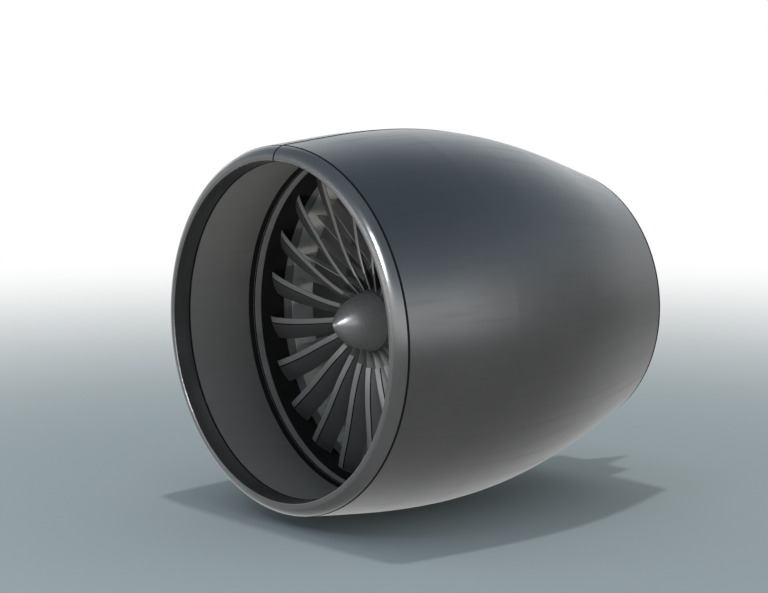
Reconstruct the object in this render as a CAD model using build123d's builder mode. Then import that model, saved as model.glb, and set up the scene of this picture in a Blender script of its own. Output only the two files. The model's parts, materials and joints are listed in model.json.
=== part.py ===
from build123d import *
import os
from math import cos, radians, sin

# Jet engine: a turbofan in a long cowl, hung by its far side on a pylon.
# Every size is in millimetres. A station is a distance along the shaft line, counted rearwards from
# the seam behind the inlet lip, and a radius is a distance from the shaft line. A clock angle starts
# at the top and grows towards the pylon side, +Y. +X points rearwards and +Z up.

# Clearances
seat = 0.3
running = 0.05
cowl_seam = 3.0
split_gap = 7.0
lip_butt_gap = 2.0

# Mounts on the pylon side: the front one carries the origin
front_mount_station = 766.0
front_mount_radius = 868.0
front_mount_length = 104.0
front_mount_width = 220.0
front_hole_pitch_x = 64.0
front_hole_pitch_z = 160.0
rear_mount_station = 1450.0
rear_mount_radius = 776.0
rear_mount_length = 100.0
rear_mount_width = 160.0
rear_hole_pitch_x = 60.0
rear_hole_pitch_z = 110.0
mount_hole_radius = 8.0
mount_hole_depth = 24.0
mount_plate = 26.0
mount_arch_width = 90.0
mount_corner = 12.0
mount_block = 80.0

# Inlet lip, its bulkhead and the inlet barrel
seam_radius = 858.0
nose_reach = 62.0
nose_radius = 795.0
nose_outer_bend = 56.0
nose_inner_bend = 6.5
inner_seam_station = 29.0
inner_seam_radius = 783.0
inner_seam_gap = 1.0
lip_skin = 4.0
bulkhead_web = 6.0
bulkhead_knee_radius = 812.0
bulkhead_toe = 9.0
landing_length = 40.0
landing_thickness = 5.0
landing_notch = 160.0
barrel_middle = (230, 802)
barrel_end_station = 449.0
barrel_flare = 18.0
barrel_wall = 14.0

# Long cowl: (station, radius) of its outer skin between its two ends
cowl_outline = [(309, 891), (619, 909), (928, 896.5), (1237, 846.5), (1546, 762)]
cowl_end_station = 1855.0
cowl_end_radius = 658.0
cowl_start_slope = 0.115
cowl_wall = 10.0
cowl_end_wall = 6.0
aperture_start = 620.0
aperture_end = 1540.0
aperture_height = 260.0
aperture_corner = 40.0

# Fan case, its land and the liner that the blade tips run in
case_front_station = 455.0
case_rear_station = 700.0
case_radius = 817.0
case_wall = 12.0
case_lip_step = 4.0
flange_height = 23.0
flange_thickness = 10.0
land_start = 462.0
land_end = 495.0
land_height = 5.0
liner_end = 640.0
liner_thickness = 8.0

# Fan blades, one row a section: radius, station of the leading edge, clock of the middle, chord,
# stagger from the shaft line, thickness
blade_count = 22
first_blade_clock = 94.3
blade_tip_gap = 3.0
blade_sections = [
    (140, 526, -6.0, 96, 14, 15),
    (257, 516, 4.7, 100, 40, 14),
    (400, 514, 5.5, 105, 50, 12.5),
    (560, 528, 5.5, 112, 60, 11),
    (700, 539, 5.0, 118, 67, 9.5),
    (case_radius + 5, 560, 4.1, 124, 70, 8),
]
blade_camber = 0.055
hub_front_station = 512.0
hub_front_radius = 143.0
hub_rear_station = 640.0
hub_rear_radius = 186.0
platform_thickness = 5.0
platform_gap = 0.4
platform_slant = 10.0
root_clock = -1.5
dovetail_radius = 104.0
dovetail_half_width = 12.0
neck_radius = 122.0
neck_half_width = 6.5

# Fan disc and spinner: (station, radius) from the spinner's point towards its rim
disc_rim_radius = 132.0
disc_rim_inner_radius = 92.0
disc_web_start = 556.0
disc_web_end = 596.0
disc_hub_start = 540.0
disc_hub_end = 612.0
disc_hub_radius = 78.0
spinner_outline = [(290, 0), (312, 32), (368, 84), (430, 119)]
spinner_tip_slope = 1.88
spinner_wall = 4.0
spinner_flange_radius = 100.0
spinner_flange = 5.0

# Guide vanes, which carry the core in the fan duct
vane_rear_station = 832.0
vane_count = 44
vane_chord = 86.0
vane_thickness = 5.0
vane_stagger = 12.0
vane_ring_step = 5.0
vane_ring_wall = 14.0
inner_ring_start = 742.0
inner_ring_end = 905.0
inner_ring_radius = 334.0
inner_ring_wall = 11.0

# Bypass duct: (station, radius) of its inner wall between its two ends
duct_outline = [(1050, 806), (1300, 770), (1550, 712)]
duct_end_station = 1845.0
duct_end_radius = 638.0
duct_wall = 6.0
cowl_rib_station = 1640.0
cowl_rib_thickness = 8.0
cowl_rib_arc = 168.0

# Core cowl: (station, radius) of its outer skin between its two ends
core_outline = [(1100, 366), (1350, 353), (1600, 318)]
core_start_slope = 0.2
core_wall = 5.0

# Rear frame, which carries the rear bearing, the core nozzle and the exhaust plug
rear_frame_start = 1762.0
rear_frame_length = 72.0
rear_frame_front_radius = 291.0
rear_frame_rear_radius = 280.0
rear_frame_bore = 250.0
rear_hub_radius = 165.0
rear_hub_wall = 12.0
rear_web = 10.0
rear_vane_count = 10
rear_vane_chord = 50.0
rear_vane_thickness = 8.0
strut_count = 4
strut_chord = 62.0
strut_thickness = 18.0

# Core nozzle and exhaust plug
nozzle_end_station = 2059.0
nozzle_end_radius = 232.0
nozzle_wall = 6.0
nozzle_edge = 2.0
nozzle_flange = 10.0
plug_shoulder = (1950, 130)
plug_waist = (2068, 86)
plug_start_slope = -0.27
plug_tip_station = 2317.0
plug_tip_radius = 4.0
plug_solid_tip = 40.0
plug_wall = 4.0
plug_flange_radius = 120.0

# Shafts and bearings
low_shaft_radius = 38.0
low_shaft_bore = 26.0
low_shaft_start = 500.0
low_shaft_end = 1795.0
low_journal_radius = 45.0
low_shoulder_radius = 56.0
low_shoulder = 12.0
front_bearing_station = 920.0
front_bearing_length = 34.0
front_bearing_radius = 90.0
high_journal_radius = 50.0
high_bore_radius = 42.0
high_bearing_station = 985.0
high_bearing_length = 24.0
high_bearing_radius = 85.0
between_bearing_station = 1536.0
between_bearing_length = 20.0
rear_bearing_station = 1768.0
rear_bearing_length = 24.0
rear_bearing_radius = 66.0
bearing_housing_wall = 10.0

# Booster, on the fan's own shaft
booster_rim_radius = 246.0
booster_shoulder = 704.0
booster_end = 895.0
booster_tip_radius = 321.0
booster_case_radius = 324.0
booster_skin = 8.0
splitter_nose_station = 722.0
splitter_nose_radius = 329.0
booster_first_row = 758.0
booster_row_pitch = 61.0
booster_row_count = 3
booster_blade_count = 24
booster_chord = 26.0

# Frame hub: the duct from the booster to the compressor
hub_duct_end = 1008.0
hub_duct_wall = 10.0
hub_strut_count = 8
hub_strut_chord = 64.0
hub_strut_thickness = 12.0
hub_web_station = 951.0
hub_web = 8.0

# Compressor, combustor and turbines inside the core
compressor_start = 1012.0
compressor_end = 1290.0
compressor_front_radius = 150.0
compressor_rear_radius = 172.0
compressor_front_tip = 206.0
compressor_rear_tip = 192.0
compressor_skin = 10.0
compressor_web = 12.0
compressor_first_row = 1036.0
compressor_row_pitch = 56.0
compressor_row_count = 4
compressor_blade_count = 24
compressor_chord = 24.0
core_case_wall = 7.0
core_flange_height = 9.0
core_flange_thickness = 8.0
tip_gap = 2.0
row_blade_thickness = 4.0
rotor_stagger = -35.0
stator_stagger = 25.0
turbine_stagger = 20.0
combustor_case_station = 1318.0
combustor_case_radius = 212.0
combustor_case_end = 1466.0
combustor_front = 1330.0
combustor_outer_radius = 182.0
combustor_inner_radius = 100.0
combustor_sheet = 3.0
combustor_flange = 6.0
fuel_nozzle_count = 10
fuel_nozzle_station = 1316.0
fuel_stem_length = 12.0
fuel_stem_width = 8.0
fuel_tip_radius = 9.0
fuel_tip_reach = 22.0
fuel_pad = 26.0
fuel_pad_thickness = 5.0
shaft_flange_radius = 70.0
shaft_flange = 8.0
high_turbine_start = 1496.0
high_turbine_width = 32.0
high_turbine_rim = 150.0
high_turbine_rim_depth = 15.0
high_turbine_tip = 187.0
high_turbine_hub_wall = 12.0
nozzle_row_station = 1481.0
nozzle_row_chord = 18.0
nozzle_row_inner_radius = 112.0
turbine_case_knee = 1545.0
low_turbine_start = 1584.0
low_turbine_end = 1740.0
low_turbine_front_rim = 150.0
low_turbine_rear_rim = 163.0
low_turbine_front_tip = 203.0
low_turbine_rear_tip = 241.0
low_turbine_skin = 8.0
low_turbine_web_station = 1650.0
low_turbine_web = 16.0
low_turbine_first_row = 1600.0
low_turbine_row_pitch = 62.0
low_turbine_row_count = 3
turbine_blade_count = 30
turbine_chord = 26.0

# Gearbox under the compressor
gearbox_start = 1060.0
gearbox_end = 1240.0
gearbox_arc = 84.0
gearbox_depth = 100.0

# Door hinges along the top: arms on the door reach under the fixed cowl's edge to their pins
hinge_side = 60.0
hinge_drop = 31.0
hinge_stations = [500, 645, 790]
hinge_pin_radius = 5.0
hinge_knuckle_radius = 9.0
hinge_lug = 16.0
hinge_ear = 7.0
hinge_foot = 6.0
hinge_foot_half_width = 26.0
arm_width = 12.0
arm_bend = 10.0
arm_path = [(0, 0), (-30, -33), (-74, -33), (-88, 40)]
arm_pad_end = -130.0
arm_pad_start = -80.0
arm_pad_base = 4.0

# How far the shapes that cut others reach past the cowl
cut_reach = 200.0

centre = Vector(-front_mount_station, -front_mount_radius, 0)
centreline = Axis(centre, (1, 0, 0))

# Lines that several pieces share
case_outer = case_radius + case_wall
flange_radius = case_outer + flange_height
liner_radius = case_radius - liner_thickness
vane_ring_radius = case_radius - vane_ring_step
vane_ring_outer = vane_ring_radius + vane_ring_wall
inner_ring_outer = inner_ring_radius + inner_ring_wall
core_front = inner_ring_end + core_flange_thickness
rear_frame_end = rear_frame_start + rear_frame_length
cowl_top = max(radius for station, radius in cowl_outline)
far_out = cowl_top + cut_reach
hinge_height = cowl_top - hinge_drop


def point(station, radius, clock):
    """The place of a station, a radius and a clock angle."""
    angle = radians(clock)
    return centre + Vector(station, radius * sin(angle), radius * cos(angle))


def meridian(clock=0):
    """A plane through the shaft line: its x is the station and its y the radius."""
    angle = radians(clock)
    return Plane(centre, x_dir=(1, 0, 0), z_dir=(0, -cos(angle), sin(angle)))


def tangent(station, radius, clock):
    """A plane square to a radius: its x points rearwards and its y to larger clock angles."""
    angle = radians(clock)
    return Plane(point(station, radius, clock), x_dir=(1, 0, 0), z_dir=(0, sin(angle), cos(angle)))


def cross_section(station):
    """A plane square to the shaft line: its x is +Y and its y +Z."""
    return Plane(point(station, 0, 0), x_dir=(0, 1, 0), z_dir=(1, 0, 0))


def along(start, end, station):
    """The radius at a station on the straight line through two (station, radius) points."""
    share = (station - start[0]) / (end[0] - start[0])
    return start[1] + share * (end[1] - start[1])


def moved(points, shift):
    """The same (station, radius) points with larger radii."""
    return [(station, radius + shift) for station, radius in points]


def ring(points, arc=360, clock=0, mode=Mode.ADD):
    """Turns a closed outline of (station, radius) points about the shaft line."""
    with BuildSketch(meridian(clock)) as profile:
        with BuildLine():
            Polyline(*points, close=True)
        make_face()
    revolve(profile.sketch, axis=centreline, revolution_arc=arc, mode=mode)


def arc_line(points, slope):
    """Arcs through (station, radius) points, each running smoothly on from the one before it."""
    way = Vector(1, slope)
    for start, end in zip(points, points[1:]):
        way = TangentArc(start, end, tangent=way) % 1


def skin_ring(outer, inner, slope, arc=360, clock=0):
    """Turns a wall with a smooth outer line and a straight-sided inner line about the shaft line."""
    with BuildSketch(meridian(clock)) as profile:
        with BuildLine():
            arc_line(outer, slope)
            Polyline(outer[-1], *reversed(inner), outer[0])
        make_face()
    revolve(profile.sketch, axis=centreline, revolution_arc=arc)


def blade_row(station, root, tip, count, chord, thickness, stagger):
    """A row of flat blades standing from one radius to another."""
    with BuildSketch(*[tangent(station, root, 360 / count * i) for i in range(count)]) as row:
        Rectangle(chord, thickness, rotation=stagger)
    extrude(row.sketch, amount=tip - root)


cowl_outer = [(cowl_seam, seam_radius + cowl_start_slope * cowl_seam), *cowl_outline,
              (cowl_end_station, cowl_end_radius)]
cowl_inner = [*moved(cowl_outer[:-1], -cowl_wall), (cowl_end_station, cowl_end_radius - cowl_end_wall)]
duct_inner = [(vane_rear_station, vane_ring_radius), *duct_outline, (duct_end_station, duct_end_radius)]
duct_outer = moved(duct_inner, duct_wall)
core_outer = [(core_front, inner_ring_outer), *core_outline, (rear_frame_start, rear_frame_front_radius)]
drum_line = [(compressor_start, compressor_front_radius), (compressor_end, compressor_rear_radius)]
compressor_tips = [(compressor_start, compressor_front_tip), (compressor_end, compressor_rear_tip)]
turbine_rim = [(low_turbine_start, low_turbine_front_rim), (low_turbine_end, low_turbine_rear_rim)]
turbine_tips = [(low_turbine_start, low_turbine_front_tip), (low_turbine_end, low_turbine_rear_tip)]
hub_line = [(hub_front_station, hub_front_radius), (hub_rear_station, hub_rear_radius)]
blade_pitch = 360 / blade_count


def trim_to_cowl():
    """Cuts away what would reach the cowl's inner skin."""
    ring([*moved(cowl_inner, -seat), (cowl_end_station, far_out), (cowl_seam, far_out)], mode=Mode.SUBTRACT)


os.makedirs("parts", exist_ok=True)

# Inlet lip: one hollow ring of sheet with a butt seam at the top
def lip_quarter(nose, bend, end, back, inward):
    """An arc of a given radius at the nose, and one that runs smoothly on from it to a seam."""
    nose_centre = nose + Vector(bend, 0)
    gap = end - nose_centre
    seam_bend = (bend ** 2 - gap.dot(gap)) / (2 * (gap.dot(inward) + bend))
    seam_centre = end + inward * seam_bend
    join = seam_centre + (nose_centre - seam_centre).normalized() * seam_bend
    TangentArc(nose, join, tangent=(0, end.Y - nose.Y))
    TangentArc(end, join, tangent=back)


def lip_side(depth):
    """The lip's line at a depth in its sheet, from the outer seam round the nose to the inner seam."""
    nose = Vector(depth - nose_reach, nose_radius)
    lean = Vector(1, cowl_start_slope).normalized()
    lip_quarter(nose, nose_outer_bend - depth, Vector(0, seam_radius - depth), -lean,
                Vector(lean.Y, -lean.X))
    lip_quarter(nose, nose_inner_bend - depth, Vector(inner_seam_station, inner_seam_radius + depth),
                Vector(-1, 0), Vector(0, 1))


with BuildPart() as inlet_lip:
    with BuildSketch(meridian()):
        with BuildLine():
            lip_side(0)
            Line((inner_seam_station, inner_seam_radius), (inner_seam_station, inner_seam_radius + lip_skin))
            lip_side(lip_skin)
            Line((0, seam_radius - lip_skin), (0, seam_radius))
        make_face()
    revolve(axis=centreline)
    with BuildSketch(cross_section(-nose_reach)):
        with Locations((0, nose_radius)):
            Rectangle(lip_butt_gap, 2 * (seam_radius - inner_seam_radius))
    extrude(amount=nose_reach + inner_seam_station, mode=Mode.SUBTRACT)

inlet_lip.part.label = "inlet_lip"
export_step(inlet_lip.part, "parts/inlet_lip.step")

# Bulkhead behind the lip, with the landing that the cowl halves close on
landing_outer = cowl_inner[0][1] - seat
web_top = seam_radius - lip_skin - 2 * seat
toe_radius = inner_seam_radius + lip_skin + seat
toe_end = inner_seam_station + inner_seam_gap - seat
with BuildPart() as inlet_bulkhead:
    ring([(-bulkhead_web - 2, web_top - 4 * seat), (-1, web_top), (-1, landing_outer),
          (landing_length, landing_outer), (landing_length, landing_outer - landing_thickness),
          (-2, landing_outer - landing_thickness),
          (-2, bulkhead_knee_radius), (toe_end, toe_radius + landing_thickness), (toe_end, toe_radius),
          (toe_end - bulkhead_toe, toe_radius),
          (-bulkhead_web - 2, bulkhead_knee_radius - landing_thickness)])
    # The door's lower edge dips here as it starts to open
    with BuildSketch(cross_section(0)):
        with Locations((-landing_notch / 2, -seam_radius)):
            Rectangle(landing_notch, 4 * cowl_wall)
    extrude(amount=landing_length, mode=Mode.SUBTRACT)

inlet_bulkhead.part.label = "inlet_bulkhead"
export_step(inlet_bulkhead.part, "parts/inlet_bulkhead.step")

# Inlet barrel, from the lip to the fan case
barrel_end_radius = case_radius + barrel_flare
barrel_inner = [(inner_seam_station + inner_seam_gap, inner_seam_radius), barrel_middle,
                (barrel_end_station, barrel_end_radius)]
with BuildPart() as inlet_barrel:
    with BuildSketch(meridian()):
        with BuildLine():
            ThreePointArc(*barrel_inner)
            Polyline(barrel_inner[-1], (case_front_station, barrel_end_radius),
                     (case_front_station, flange_radius),
                     (case_front_station - flange_thickness, flange_radius),
                     (case_front_station - flange_thickness, barrel_end_radius + barrel_wall),
                     *moved([barrel_middle, barrel_inner[0]], barrel_wall), barrel_inner[0])
        make_face()
    revolve(axis=centreline)

inlet_barrel.part.label = "inlet_barrel"
export_step(inlet_barrel.part, "parts/inlet_barrel.step")

# Fan case: a ring with two flanges and the land in front of its liner
case_lip_radius = case_radius + case_lip_step
land_radius = case_radius - land_height
with BuildPart() as fan_case:
    ring([(case_front_station, case_lip_radius), (land_start, case_lip_radius), (land_start, land_radius),
          (land_end, land_radius), (land_end, case_radius), (case_rear_station, case_radius),
          (case_rear_station, flange_radius), (case_rear_station - flange_thickness, flange_radius),
          (case_rear_station - flange_thickness, case_outer),
          (case_front_station + flange_thickness, case_outer),
          (case_front_station + flange_thickness, flange_radius), (case_front_station, flange_radius)])

fan_case.part.label = "fan_case"
export_step(fan_case.part, "parts/fan_case.step")

with BuildPart() as blade_track_liner:
    ring([(land_end, liner_radius), (liner_end, liner_radius), (liner_end, case_radius),
          (land_end, case_radius)])

blade_track_liner.part.label = "blade_track_liner"
export_step(blade_track_liner.part, "parts/blade_track_liner.step")


# Fan blade: a twisted blade with a slanted platform and a dovetail root
def blade_section(radius, station, clock, chord, stagger, thickness):
    """One section of a fan blade, with a blunt leading edge and its hollow side to the rear."""
    angle = radians(stagger)
    start = Vector(station, -chord * sin(angle) / 2)
    ahead = Vector(cos(angle), sin(angle))
    across = Vector(sin(angle), -cos(angle))

    def place(share, side):
        bow = 4 * blade_camber * chord * share * (1 - share)
        return start + ahead * (chord * share) + across * (side * thickness / 2 - bow)

    with BuildSketch(tangent(0, radius, clock)) as section:
        with BuildLine():
            Polyline(place(0.04, -0.75), place(0.008, -0.35), place(0.008, 0.35), place(0.04, 0.75))
            Spline(place(0.04, 0.75), place(0.35, 1), place(0.7, 0.75), place(1, 0.3))
            Line(place(1, 0.3), place(1, -0.3))
            Spline(place(1, -0.3), place(0.7, -0.75), place(0.35, -1), place(0.04, -0.75))
        make_face()
    return section.sketch


def dovetail(grow=0):
    """The root's outline, standing along x from the shaft line, grown by a clearance for its slot."""
    Polygon((dovetail_radius - grow, -dovetail_half_width - grow),
            (dovetail_radius - grow, dovetail_half_width + grow), (neck_radius, neck_half_width + grow),
            (hub_rear_radius, neck_half_width + grow), (hub_rear_radius, -neck_half_width - grow),
            (neck_radius, -neck_half_width - grow), align=None)


def platform_edge(clock, side):
    """The slanted plane between two platforms, half a gap to one side of the middle."""
    angle = radians(clock)
    slant = radians(platform_slant)
    square = Vector(-sin(slant), cos(slant) * cos(angle), -cos(slant) * sin(angle))
    middle = point((hub_front_station + hub_rear_station) / 2, 0, 0)
    return Plane(middle + square * (side * platform_gap / 2), z_dir=square)


tip_radius = liner_radius - blade_tip_gap
with BuildPart() as platform:
    ring([*hub_line, *moved(reversed(hub_line), -platform_thickness)], arc=2 * blade_pitch,
         clock=root_clock + blade_pitch)
    split(bisect_by=platform_edge(root_clock + blade_pitch / 2, -1), keep=Keep.BOTTOM)
    split(bisect_by=platform_edge(root_clock - blade_pitch / 2, 1), keep=Keep.TOP)

with BuildPart() as airfoil:
    loft([blade_section(*row) for row in blade_sections])
    floor_front = along(*hub_line, hub_front_station - hub_front_radius) - platform_thickness / 2
    floor_rear = along(*hub_line, hub_rear_station + hub_front_radius) - platform_thickness / 2
    ring([(hub_front_station - hub_front_radius, floor_front),
          (hub_rear_station + hub_front_radius, floor_rear),
          (hub_rear_station + hub_front_radius, tip_radius),
          (hub_front_station - hub_front_radius, tip_radius)], mode=Mode.INTERSECT)

with BuildPart() as fan_blade:
    with BuildSketch(Plane(point(hub_front_station, 0, 0), x_dir=point(0, 1, root_clock) - centre,
                           z_dir=(1, 0, 0))):
        dovetail()
    extrude(amount=hub_rear_station - hub_front_station)
    ring([*moved(hub_line, -platform_thickness / 2), (hub_rear_station, 2 * hub_rear_radius),
          (hub_front_station, 2 * hub_rear_radius)], mode=Mode.SUBTRACT)
    add(platform.part)
    add(airfoil.part)

for i in range(blade_count):
    blade = fan_blade.part.rotate(centreline, -(first_blade_clock + blade_pitch * i))
    blade.label = f"fan_blade_{i + 1:02d}"
    export_step(blade, f"parts/{blade.label}.step")

# Fan disc, slotted for the blade roots
with BuildPart() as fan_disc:
    ring([(hub_front_station, disc_rim_inner_radius), (hub_front_station, disc_rim_radius),
          (hub_rear_station, disc_rim_radius), (hub_rear_station, disc_rim_inner_radius),
          (disc_web_end, disc_rim_inner_radius), (disc_web_end, disc_hub_radius),
          (disc_hub_end, disc_hub_radius),
          (disc_hub_end, low_journal_radius), (disc_hub_start, low_journal_radius),
          (disc_hub_start, disc_hub_radius), (disc_web_start, disc_hub_radius),
          (disc_web_start, disc_rim_inner_radius)])
    with BuildSketch(cross_section(hub_front_station)):
        with PolarLocations(0, blade_count, start_angle=90 - first_blade_clock - root_clock):
            dovetail(seat)
    extrude(amount=hub_rear_station - hub_front_station, mode=Mode.SUBTRACT)

fan_disc.part.label = "fan_disc"
export_step(fan_disc.part, "parts/fan_disc.step")

# Spinner: a pointed sheet cone with a flange against the disc
spinner_rear = hub_front_station - seat
spinner_inner = [(spinner_outline[0][0] + 2 * spinner_wall, 0)]
spinner_inner += [(station + spinner_wall / 2, radius - spinner_wall)
                  for station, radius in spinner_outline[1:]]
spinner_inner += [(spinner_rear - spinner_flange, hub_front_radius - spinner_wall)]
with BuildPart() as spinner:
    with BuildSketch(meridian()):
        with BuildLine():
            arc_line([*spinner_outline, (spinner_rear, hub_front_radius)], spinner_tip_slope)
            Polyline((spinner_rear, hub_front_radius), (spinner_rear, spinner_flange_radius),
                     (spinner_rear - spinner_flange, spinner_flange_radius), *reversed(spinner_inner),
                     spinner_outline[0])
        make_face()
    revolve(axis=centreline)

spinner.part.label = "spinner"
export_step(spinner.part, "parts/spinner.step")

# Guide vanes, each one seated between an outer and an inner ring
with BuildPart() as guide_vane_ring:
    ring([(case_rear_station, vane_ring_radius), (vane_rear_station, vane_ring_radius),
          (vane_rear_station, flange_radius), (vane_rear_station - flange_thickness, flange_radius),
          (vane_rear_station - flange_thickness, vane_ring_outer),
          (case_rear_station + flange_thickness, vane_ring_outer),
          (case_rear_station + flange_thickness, flange_radius), (case_rear_station, flange_radius)])
    ring([(inner_ring_start, inner_ring_radius), (inner_ring_end, inner_ring_radius),
          (inner_ring_end, inner_ring_outer), (inner_ring_start, inner_ring_outer)])
    with BuildSketch(*[tangent((inner_ring_start + vane_rear_station) / 2, inner_ring_outer + seat,
                               360 / vane_count * i) for i in range(vane_count)]):
        SlotOverall(vane_chord, vane_thickness, rotation=vane_stagger)
    extrude(amount=vane_ring_radius - inner_ring_outer - 2 * seat)

guide_vane_ring.part.label = "guide_vane_ring"
export_step(guide_vane_ring.part, "parts/guide_vane_ring.step")

# Bypass duct, with its front flange and the half rib that carries the fixed cowl
rib_foot = along(duct_outer[-2], duct_outer[-1], cowl_rib_station) - duct_wall / 2
rib_top = rib_foot + (seam_radius - vane_ring_radius) * 2
rib_ends = (cowl_rib_station, cowl_rib_station + cowl_rib_thickness)
with BuildPart() as bypass_duct:
    ring([(rib_ends[0], rib_foot), (rib_ends[1], rib_foot), (rib_ends[1], rib_top), (rib_ends[0], rib_top)],
         arc=cowl_rib_arc, clock=90 + cowl_rib_arc / 2)
    trim_to_cowl()
    ring([*duct_inner, *reversed(duct_outer[1:]), (vane_rear_station + flange_thickness, duct_outer[0][1]),
          (vane_rear_station + flange_thickness, flange_radius), (vane_rear_station, flange_radius)])

bypass_duct.part.label = "bypass_duct"
export_step(bypass_duct.part, "parts/bypass_duct.step")

# Core cowl around the compressor, combustor and turbines
with BuildPart() as core_cowl:
    skin_ring(core_outer, moved(core_outer, -core_wall), core_start_slope)

core_cowl.part.label = "core_cowl"
export_step(core_cowl.part, "parts/core_cowl.step")

# Rear frame: a hub and a ring with vanes seated between them, and struts that cross the fan duct
rear_frame_middle = (rear_frame_start + rear_frame_end) / 2
hub_inner = rear_hub_radius - rear_hub_wall
housing_outer = rear_bearing_radius + bearing_housing_wall
housing_start = rear_bearing_station - running
housing_end = rear_bearing_station + rear_bearing_length
ring_line = [(rear_frame_start, rear_frame_front_radius), (rear_frame_end, rear_frame_rear_radius)]
with BuildPart() as rear_frame:
    with BuildSketch(*[tangent(rear_frame_middle, rear_frame_bore, 45 + 360 / strut_count * i)
                       for i in range(strut_count)]):
        SlotOverall(strut_chord, strut_thickness)
    extrude(amount=seam_radius - rear_frame_bore)
    ring([*moved(duct_inner, -seat), (duct_end_station, far_out), (vane_rear_station, far_out)],
         mode=Mode.SUBTRACT)
    ring([(rear_frame_start, 0), *moved(ring_line, seat), (rear_frame_end, 0)], mode=Mode.SUBTRACT)
    ring([(rear_frame_start, rear_frame_bore), (rear_frame_end, rear_frame_bore), *reversed(ring_line)])
    ring([(rear_frame_start, rear_hub_radius), (rear_frame_end, rear_hub_radius),
          (rear_frame_end, hub_inner),
          (rear_frame_middle + rear_web, hub_inner), (housing_end, housing_outer),
          (housing_end, rear_bearing_radius), (housing_start, rear_bearing_radius),
          (housing_start, housing_outer), (housing_end - rear_web, housing_outer),
          (rear_frame_middle, hub_inner), (rear_frame_start, hub_inner)])
    blade_row(rear_frame_middle, rear_hub_radius + seat, rear_frame_bore - seat, rear_vane_count,
              rear_vane_chord, rear_vane_thickness, 0)

rear_frame.part.label = "rear_frame"
export_step(rear_frame.part, "parts/rear_frame.step")

# Core nozzle and exhaust plug, both on the rear frame
nozzle_line = [(rear_frame_end, rear_frame_rear_radius), (nozzle_end_station, nozzle_end_radius)]
nozzle_inside = rear_frame_end + nozzle_flange
with BuildPart() as core_nozzle:
    ring([*nozzle_line, (nozzle_end_station, nozzle_end_radius - nozzle_edge),
          (nozzle_inside, along(*nozzle_line, nozzle_inside) - nozzle_wall),
          (nozzle_inside, rear_frame_bore + nozzle_wall), (rear_frame_end, rear_frame_bore + nozzle_wall)])

core_nozzle.part.label = "core_nozzle"
export_step(core_nozzle.part, "parts/core_nozzle.step")

plug_base = (rear_frame_end, rear_hub_radius)
with BuildPart() as exhaust_plug:
    with BuildSketch(meridian()):
        with BuildLine():
            arc_line([plug_base, plug_shoulder, plug_waist, (plug_tip_station, plug_tip_radius)],
                     plug_start_slope)
            Polyline((plug_tip_station, plug_tip_radius), (plug_tip_station, 0),
                     (plug_tip_station - plug_solid_tip, 0), *moved([plug_waist, plug_shoulder], -plug_wall),
                     (rear_frame_end + plug_wall, rear_hub_radius - plug_wall),
                     (rear_frame_end + plug_wall, plug_flange_radius), (rear_frame_end, plug_flange_radius),
                     plug_base)
        make_face()
    revolve(axis=centreline)

exhaust_plug.part.label = "exhaust_plug"
export_step(exhaust_plug.part, "parts/exhaust_plug.step")

# Low shaft, from the fan to the low turbine
journal_end = front_bearing_station + front_bearing_length + seat
with BuildPart() as low_shaft:
    ring([(low_shaft_start, low_shaft_bore), (low_shaft_end, low_shaft_bore),
          (low_shaft_end, low_shaft_radius),
          (journal_end, low_shaft_radius), (journal_end, low_journal_radius),
          (disc_hub_end + low_shoulder, low_journal_radius),
          (disc_hub_end + low_shoulder, low_shoulder_radius),
          (disc_hub_end, low_shoulder_radius), (disc_hub_end, low_journal_radius),
          (low_shaft_start, low_journal_radius)])

low_shaft.part.label = "low_shaft"
export_step(low_shaft.part, "parts/low_shaft.step")


def bearing(station, length, bore, outside):
    """A bearing as one ring, with its races and rollers closed in."""
    ring([(station, bore), (station + length, bore), (station + length, outside), (station, outside)])


with BuildPart() as front_bearing:
    bearing(front_bearing_station, front_bearing_length, low_journal_radius + running, front_bearing_radius)

front_bearing.part.label = "front_bearing"
export_step(front_bearing.part, "parts/front_bearing.step")

with BuildPart() as high_front_bearing:
    bearing(high_bearing_station, high_bearing_length, high_journal_radius + running, high_bearing_radius)

high_front_bearing.part.label = "high_front_bearing"
export_step(high_front_bearing.part, "parts/high_front_bearing.step")

# This bearing rides on the low shaft and carries the high turbine's hub
with BuildPart() as high_rear_bearing:
    bearing(between_bearing_station, between_bearing_length, low_shaft_radius, high_journal_radius)

high_rear_bearing.part.label = "high_rear_bearing"
export_step(high_rear_bearing.part, "parts/high_rear_bearing.step")

with BuildPart() as rear_bearing:
    bearing(rear_bearing_station, rear_bearing_length, low_shaft_radius + running, rear_bearing_radius)

rear_bearing.part.label = "rear_bearing"
export_step(rear_bearing.part, "parts/rear_bearing.step")

# Booster rotor: a drum behind the fan disc with rows of blades
booster_stations = [booster_first_row + booster_row_pitch * i for i in range(booster_row_count)]
booster_inner = booster_rim_radius - booster_skin
with BuildPart() as booster_rotor:
    ring([(hub_rear_station, disc_rim_inner_radius), (hub_rear_station, hub_rear_radius),
          (booster_shoulder, booster_rim_radius), (booster_end, booster_rim_radius),
          (booster_end, booster_inner),
          (booster_shoulder, booster_inner),
          (hub_rear_station + booster_skin, hub_rear_radius - booster_skin),
          (hub_rear_station + booster_skin, disc_rim_inner_radius)])
    for station in booster_stations:
        blade_row(station, booster_inner + booster_skin / 2, booster_tip_radius, booster_blade_count,
                  booster_chord, row_blade_thickness, rotor_stagger)

booster_rotor.part.label = "booster_rotor"
export_step(booster_rotor.part, "parts/booster_rotor.step")

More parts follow.
